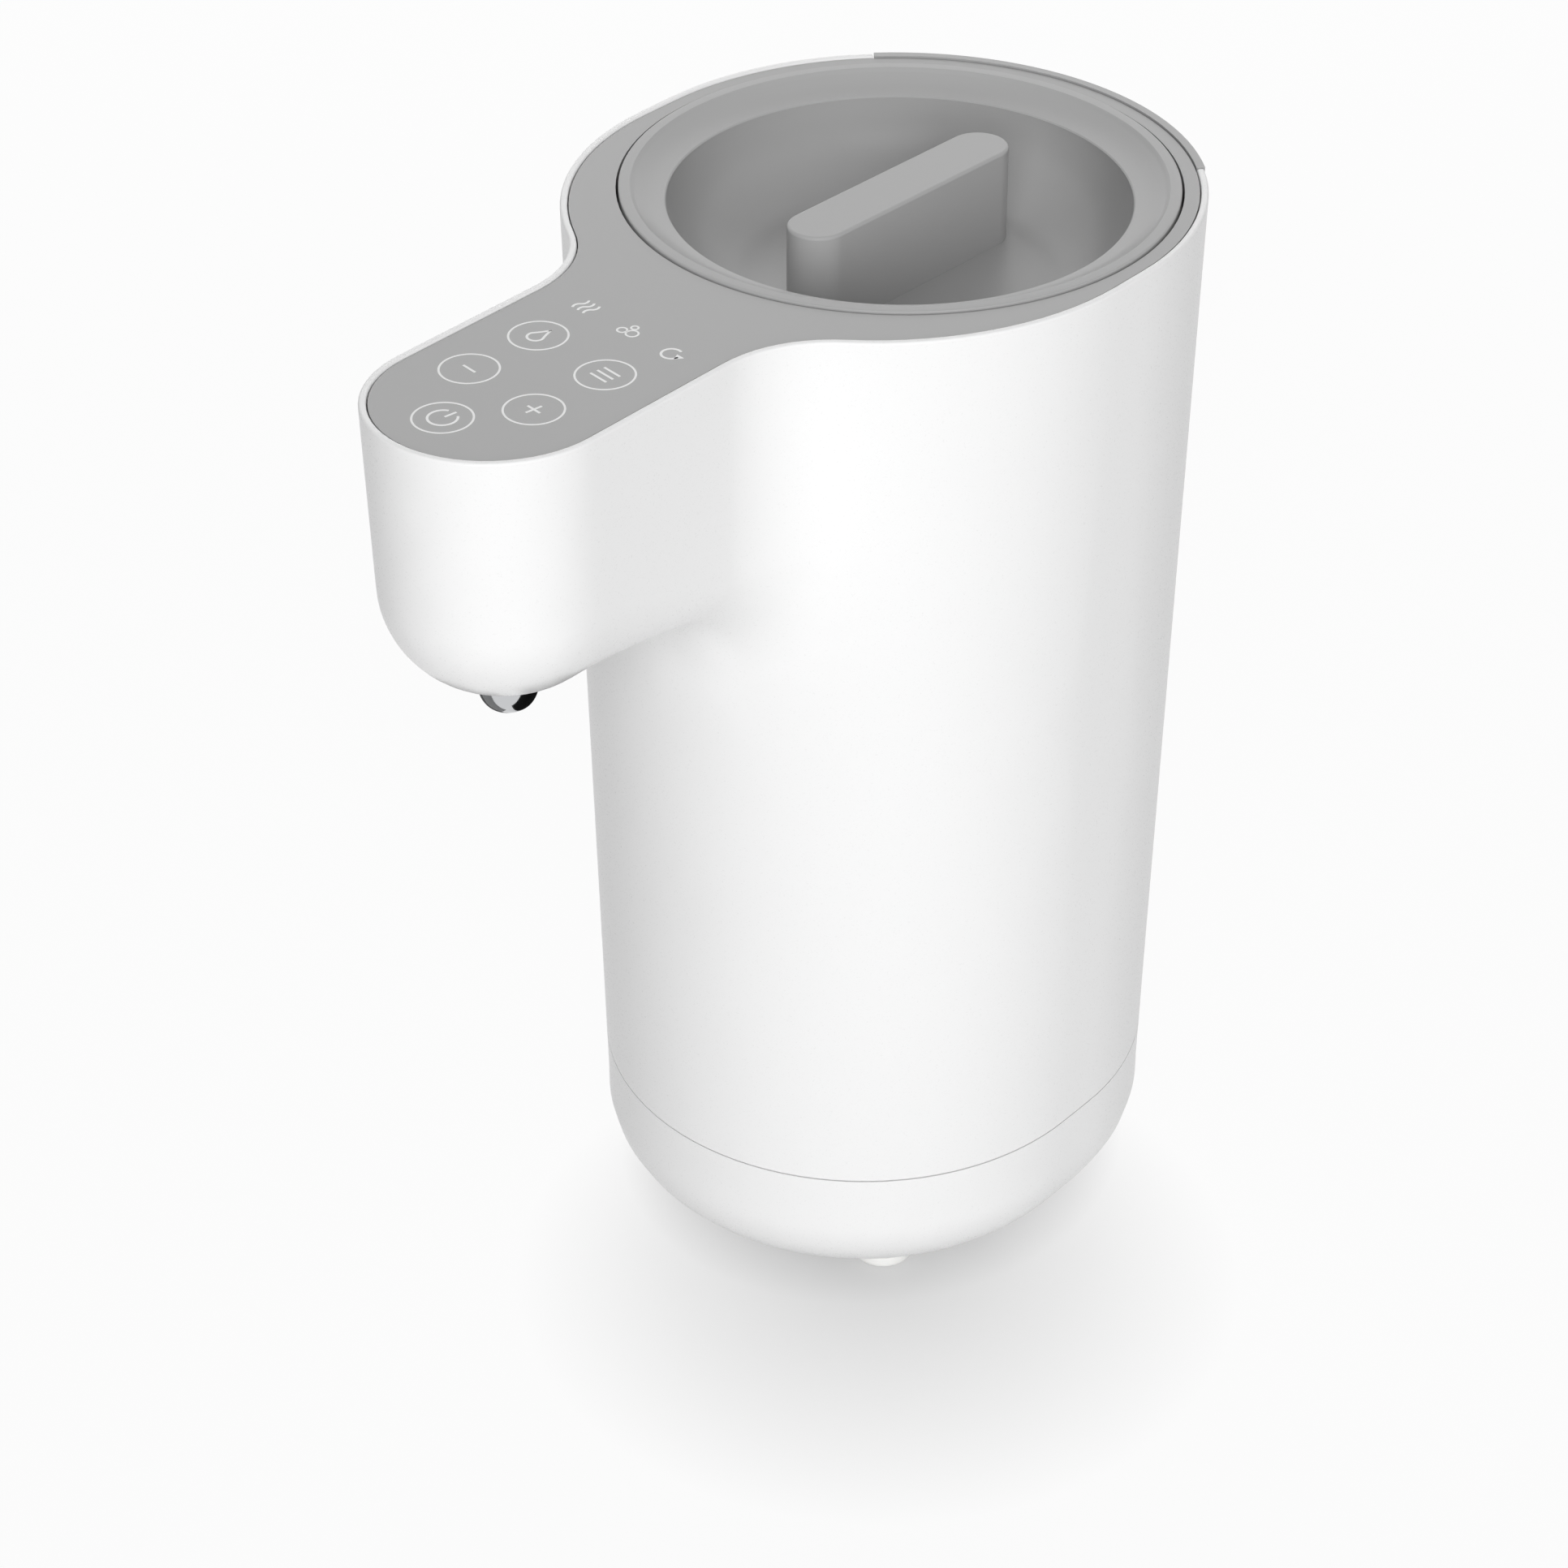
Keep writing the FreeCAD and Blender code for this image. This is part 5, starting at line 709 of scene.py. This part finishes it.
class FORMULA_OT_touch_marks(bpy.types.Operator):
    """Prints the touch marks: rings with generic symbols, and three programme symbols"""

    bl_idname = "formula.touch_marks"
    bl_label = "Touch marks"

    def execute(self, context):
        sizes = context.scene.formula_sizes
        colours = context.scene.formula_colours
        # Two-part pad-printing ink: matt off-white, a faintly uneven film a few hundredths thick
        ink = moulded("Off-white pad-print ink", colours.ink, 0.5, {"IOR": 1.48},
                      grain=0.12, depth=0.003, mottle=0.97)
        for kind, (x, reach) in (RING_PLACES | PROGRAMME_PLACES).items():
            bm = bmesh.new()
            SYMBOLS[kind](bm, sizes.stroke_width)
            if kind in RING_PLACES:
                band(bm, sizes.ring_radius, sizes.line_width)
            moved(bm, 0, x * MM, LID_CENTRE.y - reach * MM, MARK_TURN)
            bmesh.ops.translate(bm, verts=bm.verts, vec=(0, 0, PANEL_TOP + sizes.ink_height))
            bmesh.ops.recalc_face_normals(bm, faces=bm.faces)
            for face in bm.faces:
                if face.normal.z < 0:
                    face.normal_flip()
            # Half of the film's depth goes into the panel, so that no gap shows below it
            bmesh.ops.solidify(bm, geom=bm.faces[:], thickness=sizes.ink_height * 2)
            finish_piece("mark_" + kind, bm, ink, "base")
        return {"FINISHED"}


class FORMULA_OT_lid(bpy.types.Operator):
    """Makes the lid: a turned dish with a bowl, and the grip bar across it"""

    bl_idname = "formula.lid"
    bl_label = "Lid"

    def execute(self, context):
        sizes = context.scene.formula_sizes
        colours = context.scene.formula_colours
        # Grey ABS moulded in a polished tool: smooth enough for the bowl to mirror the bar
        polished = moulded("Grey ABS, polished", colours.lid, 0.3, {"IOR": 1.53}, depth=0.002)
        bm = bmesh.new()
        turn_profile(bm, self.dish_outline(sizes), LID_CENTRE, steps=160)
        dish = finish_piece("lid_dish", bm, polished, "lid", smooth_angle=30.0)
        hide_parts("lid_cover")
        self.add_bar(sizes, polished)
        return {"FINISHED"}

    def dish_outline(self, sizes):
        """The closed outline of the dish, from its centre along the top, down the skirt and back below."""
        wall = 2.0 * MM
        crown_round = 0.4 * MM
        crown_chamfer = 0.1 * MM
        crown_chamfer_drop = 0.12 * MM
        bowl_chamfer = 0.2 * MM
        bowl_softening = 0.05 * MM
        slope_steps = 12
        floor = LID_TOP - sizes.bowl_depth
        crown_inner = LID_RADIUS - sizes.crown_width
        slope_run = crown_inner - crown_round - sizes.bowl_edge
        slope_top = LID_TOP - sizes.crown_step
        bowl_top = slope_top - sizes.slope_drop
        bowl_run = sizes.bowl_edge - sizes.bowl_floor
        upper = [(0, floor)]
        upper += reversed(arc(sizes.bowl_floor, bowl_top, bowl_run, floor - bowl_top,
                              start=3, end=90, steps=22))
        upper.append((sizes.bowl_edge - bowl_softening, bowl_top - bowl_chamfer))
        upper.append((sizes.bowl_edge + bowl_chamfer, bowl_top + bowl_softening))
        for i in range(1, slope_steps + 1):
            share = i / slope_steps
            sag = sizes.slope_sag * math.sin(math.pi * share)
            upper.append((sizes.bowl_edge + slope_run * share, bowl_top + sizes.slope_drop * share - sag))
        upper.append((crown_inner - crown_chamfer, LID_TOP - crown_chamfer_drop))
        upper.append((crown_inner + crown_chamfer, LID_TOP))
        upper += reversed(arc(LID_RADIUS - crown_round, LID_TOP - crown_round, crown_round, crown_round,
                              start=0, end=90, steps=5))
        lower = [
            (LID_RADIUS, LID_SKIRT_LOW),
            (LID_RADIUS - wall, LID_SKIRT_LOW),
            (LID_RADIUS - wall, slope_top - wall),
            (sizes.bowl_edge + wall, bowl_top - wall),
        ]
        lower += arc(sizes.bowl_floor, bowl_top, bowl_run + wall, floor - wall - bowl_top,
                     start=15, end=90, steps=8)
        lower.append((0, floor - wall))
        return upper + lower

    def add_bar(self, sizes, material):
        """The grip bar: a stadium prism with a softly rounded upper edge, let into the bowl's floor."""
        depth_in_floor = 1.0 * MM
        radius = sizes.bar_width / 2
        reach = sizes.bar_length / 2 - radius
        low = LID_TOP - sizes.bowl_depth - depth_in_floor
        high = PANEL_TOP - sizes.bar_drop
        bm = bmesh.new()
        for side in (1, -1):
            start = bm.verts.new((side * radius, side * reach, low))
            bmesh.ops.spin(bm, geom=[start], cent=(0, side * reach, 0), axis=(0, 0, 1),
                           angle=math.pi, steps=32)
        bmesh.ops.remove_doubles(bm, verts=bm.verts, dist=MERGE_DISTANCE)
        bm.verts.ensure_lookup_table()
        ends = [vert for vert in bm.verts if len(vert.link_edges) == 1]
        for side in (1, -1):
            bm.edges.new([vert for vert in ends if vert.co.x * side > 0])
        face = bmesh.ops.contextual_create(bm, geom=bm.edges[:])["faces"][0]
        top = bmesh.ops.extrude_face_region(bm, geom=[face])["geom"]
        raised = [item for item in top if isinstance(item, bmesh.types.BMVert)]
        bmesh.ops.translate(bm, verts=raised, vec=(0, 0, high - low))
        rim = [edge for edge in bm.edges if all(vert in raised for vert in edge.verts)]
        bmesh.ops.bevel(bm, geom=rim, offset=sizes.bar_round, offset_type="OFFSET", segments=5,
                        profile=0.5, affect="EDGES", clamp_overlap=True, material=-1)
        turn = Matrix.Rotation(sizes.bar_turn, 4, "Z")
        bmesh.ops.transform(bm, matrix=Matrix.Translation(LID_CENTRE) @ turn, verts=bm.verts)
        bmesh.ops.recalc_face_normals(bm, faces=bm.faces)
        bar = finish_piece("lid_bar", bm, material, "lid", smooth_angle=40.0)
        even_normals(bar)


class FORMULA_OT_nozzle(bpy.types.Operator):
    """Makes the plated nozzle tip under the arm"""

    bl_idname = "formula.nozzle"
    bl_label = "Nozzle"

    def execute(self, context):
        # Bright chromium over nickel on turned brass: a cool mirror with faint turning marks
        chrome = worked_metal("Chromed brass, turned", linear("C9CACC"), 0.1, (1, 1, 6),
                              grain=0.6, depth=0.0005, spread=0.03)
        radius = (NOZZLE_HIGH.x - NOZZLE_LOW.x) / 2
        bore = 2.4 * MM
        lip = 0.2 * MM
        round_height = 5.7 * MM
        seat_height = 8.2 * MM
        neck = 4.0 * MM
        low = NOZZLE_LOW.z
        high = NOZZLE_HIGH.z
        outline = [(bore, high), (bore, low + lip)]
        outline += arc(bore + lip, low + round_height, radius - bore - lip, round_height,
                       start=-90, end=0, steps=18)
        outline += [(radius, low + seat_height), (neck, low + seat_height), (neck, high), (bore, high)]
        bm = bmesh.new()
        turn_profile(bm, outline, NOZZLE_CENTRE, steps=96)
        outlet = finish_piece("nozzle_outlet", bm, chrome, "base", smooth_angle=30.0)
        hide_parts("nozzle_tip")
        return {"FINISHED"}


class FORMULA_OT_feet(bpy.types.Operator):
    """Makes the four round feet"""

    bl_idname = "formula.feet"
    bl_label = "Feet"

    def execute(self, context):
        # Thermoplastic elastomer: soft, white, a little dusty
        elastomer = silicone("White elastomer, moulded", linear("F0F0EE"))
        radius = 5.6 * MM
        for number, (side_x, side_y) in enumerate(((-1, -1), (1, -1), (-1, 1), (1, 1)), 1):
            x = side_x * (FEET_HIGH.x - radius)
            y = FEET_HIGH.y - radius if side_y > 0 else FEET_LOW.y + radius
            bm = bmesh.new()
            turn_profile(bm, self.foot_outline(radius), Vector((x, y, 0)), steps=48)
            foot = finish_piece("foot_%d" % number, bm, elastomer, "base",
                                smooth_angle=30.0)
            if number == 1:
                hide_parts("feet")
        return {"FINISHED"}

    def foot_outline(self, radius):
        """Half of a foot: its rounded flange, the neck in the base's hole and the stem above."""
        flange = 7.0 * MM
        flange_round = 1.4 * MM
        flange_top = 3.1 * MM
        neck_low = 3.2 * MM
        neck_high = 4.9 * MM
        stem = 2.2 * MM
        outline = [(0, 0)]
        outline += arc(flange - flange_round, flange_round, flange_round, flange_round,
                       start=-90, end=0, steps=8)
        outline += [(flange, flange_top), (radius, neck_low), (radius, neck_high), (stem, neck_high)]
        outline += [(stem, FEET_HIGH.z), (0, FEET_HIGH.z)]
        return outline


class FORMULA_OT_inner_parts(bpy.types.Operator):
    """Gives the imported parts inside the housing, and the power inlet, their materials"""

    bl_idname = "formula.inner_parts"
    bl_label = "Inner parts"

    def execute(self, context):
        self.dress_plastics()
        self.dress_metals()
        self.dress_electrics()
        return {"FINISHED"}

    def dress_plastics(self):
        """Plastics, silicone and rubber."""
        # Glass-filled nylon: black, dry and slightly rough
        nylon = moulded("Black nylon, glass-filled", linear("1C1C1E"), 0.5, {"IOR": 1.53},
                        grain=0.4, depth=0.012, mottle=0.8)
        dress(["power_inlet", "fan_frame", "fan_rotor", "thermostat", "pump_motor", "pump_housing"], nylon)
        # Natural polypropylene: milky and waxy, light passes a little way in
        waxy = {"IOR": 1.49, "Subsurface Weight": 0.2, "Subsurface Scale": 1.0 * MM,
                "Subsurface Radius": (1.0, 0.95, 0.9)}
        natural = moulded("Natural polypropylene", linear("E6E4DC"), 0.38, waxy, grain=0.45, depth=0.006)
        dress(["lid_inner", "liner_cradle", "riser_tube", "riser_elbow", "nozzle_body", "pump_rotor",
               "board_plugs"], natural)
        # Platinum-cured silicone: milky, soft and faintly dusty
        dress(["lid_seal", "liner_gasket", "inlet_hose", "delivery_hose", "arm_hose", "nozzle_seal"],
              silicone("Translucent silicone", linear("E9E8E4")))
        # Nitrile rubber: dark grey, matt
        dress(["pump_pad"], silicone("Grey nitrile rubber", linear("4A4A4C")))

    def dress_metals(self):
        """Steel, aluminium and plated brass."""
        # Deep-drawn 304 stainless steel: draw lines run up the wall and spread the light
        steel = worked_metal("Stainless steel, drawn", linear("C6C5C2"), 0.34, (1, 1, 0.08),
                             grain=0.5, depth=0.002, scatter=0.4)
        dress(["liner", "heat_shield", "heating_element", "thermal_fuse", "temperature_probe",
               "pump_shaft", "lid_screws"], steel)
        # Die-cast aluminium: pale grey with a cloudy skin
        dress(["heater_plate"],
              worked_metal("Die-cast aluminium", linear("C9CACB"), 0.42, (1, 1, 1),
                           grain=2.5, depth=0.02, spread=0.08))
        # Zinc-plated steel: slightly blue, spangled
        dress(["base_screws", "cradle_screws", "pump_screws", "fan_screws", "touch_screws"],
              worked_metal("Zinc-plated steel", linear("BDC1C4"), 0.3, (1, 1, 1), grain=0.8, depth=0.004))
        # Nickel-plated brass: warm and bright
        dress(["inlet_pins", "touch_springs"],
              worked_metal("Nickel-plated brass", linear("CFC6AE"), 0.2, (1, 6, 1), grain=0.5, depth=0.002))

    def dress_electrics(self):
        """Circuit boards, their components and the leads."""
        # Glass-cloth laminate under a green mask: glossy, with the weave just showing
        dress(["power_board", "touch_board"], laminate("Glass laminate, green mask", linear("1F5A32")))
        # PBT polyester cases: deep blue, slightly satin
        dress(["board_relay", "board_capacitors", "board_terminals"],
              moulded("Blue PBT case", linear("274C86"), 0.4, {"IOR": 1.55},
                      grain=0.3, depth=0.006, mottle=0.9))
        # Polyester tape over the winding: glossy yellow with the tape's laps
        dress(["board_transformer"],
              banded("Yellow polyester tape", linear("B08A22"), linear("D6AC34"), 0.25,
                     pitch=13.8, axis="Z", inputs={"IOR": 1.58}))
        # Clear epoxy lens over a phosphor: pale yellow, partly see-through
        dress(["indicator_leds"],
              moulded("Clear epoxy lens", linear("F2EFD8"), 0.15, {"IOR": 1.53, "Transmission Weight": 0.4},
                      grain=0.3, depth=0.001))
        # Braided glass-fibre sleeve: dark bands of yarn
        dress(["touch_lead", "mains_lead", "heater_lead"],
              banded("Braided sleeve", linear("161616"), linear("2C2C2C"), 0.55,
                     pitch=7.5, axis="DIAGONAL", inputs={"IOR": 1.5}))


class FORMULA_PT_panel(bpy.types.Panel):
    """Lists the machine's parts and its sizes and colours"""

    bl_idname = "FORMULA_PT_panel"
    bl_label = "Formula Maker"
    bl_space_type = "VIEW_3D"
    bl_region_type = "UI"
    bl_category = "Formula Maker"

    def draw(self, context):
        for operator in OPERATORS:
            self.layout.operator(operator.bl_idname)
        for group in (context.scene.formula_sizes, context.scene.formula_colours):
            box = self.layout.box()
            for name in group.bl_rna.properties.keys():
                if name not in ("rna_type", "name"):
                    box.prop(group, name)


OPERATORS = (FORMULA_OT_stage, FORMULA_OT_shells, FORMULA_OT_touch_marks, FORMULA_OT_lid,
             FORMULA_OT_nozzle, FORMULA_OT_feet, FORMULA_OT_inner_parts)
CLASSES = (FormulaMakerSizes, FormulaMakerColours, *OPERATORS, FORMULA_PT_panel)


def register():
    for cls in CLASSES:
        bpy.utils.register_class(cls)
    bpy.types.Scene.formula_sizes = bpy.props.PointerProperty(type=FormulaMakerSizes)
    bpy.types.Scene.formula_colours = bpy.props.PointerProperty(type=FormulaMakerColours)


def unregister():
    del bpy.types.Scene.formula_colours
    del bpy.types.Scene.formula_sizes
    for cls in reversed(CLASSES):
        bpy.utils.unregister_class(cls)


def main():
    register()
    for operator in OPERATORS:
        group, name = operator.bl_idname.split(".")
        getattr(getattr(bpy.ops, group), name)()


if __name__ == "__main__":
    main()
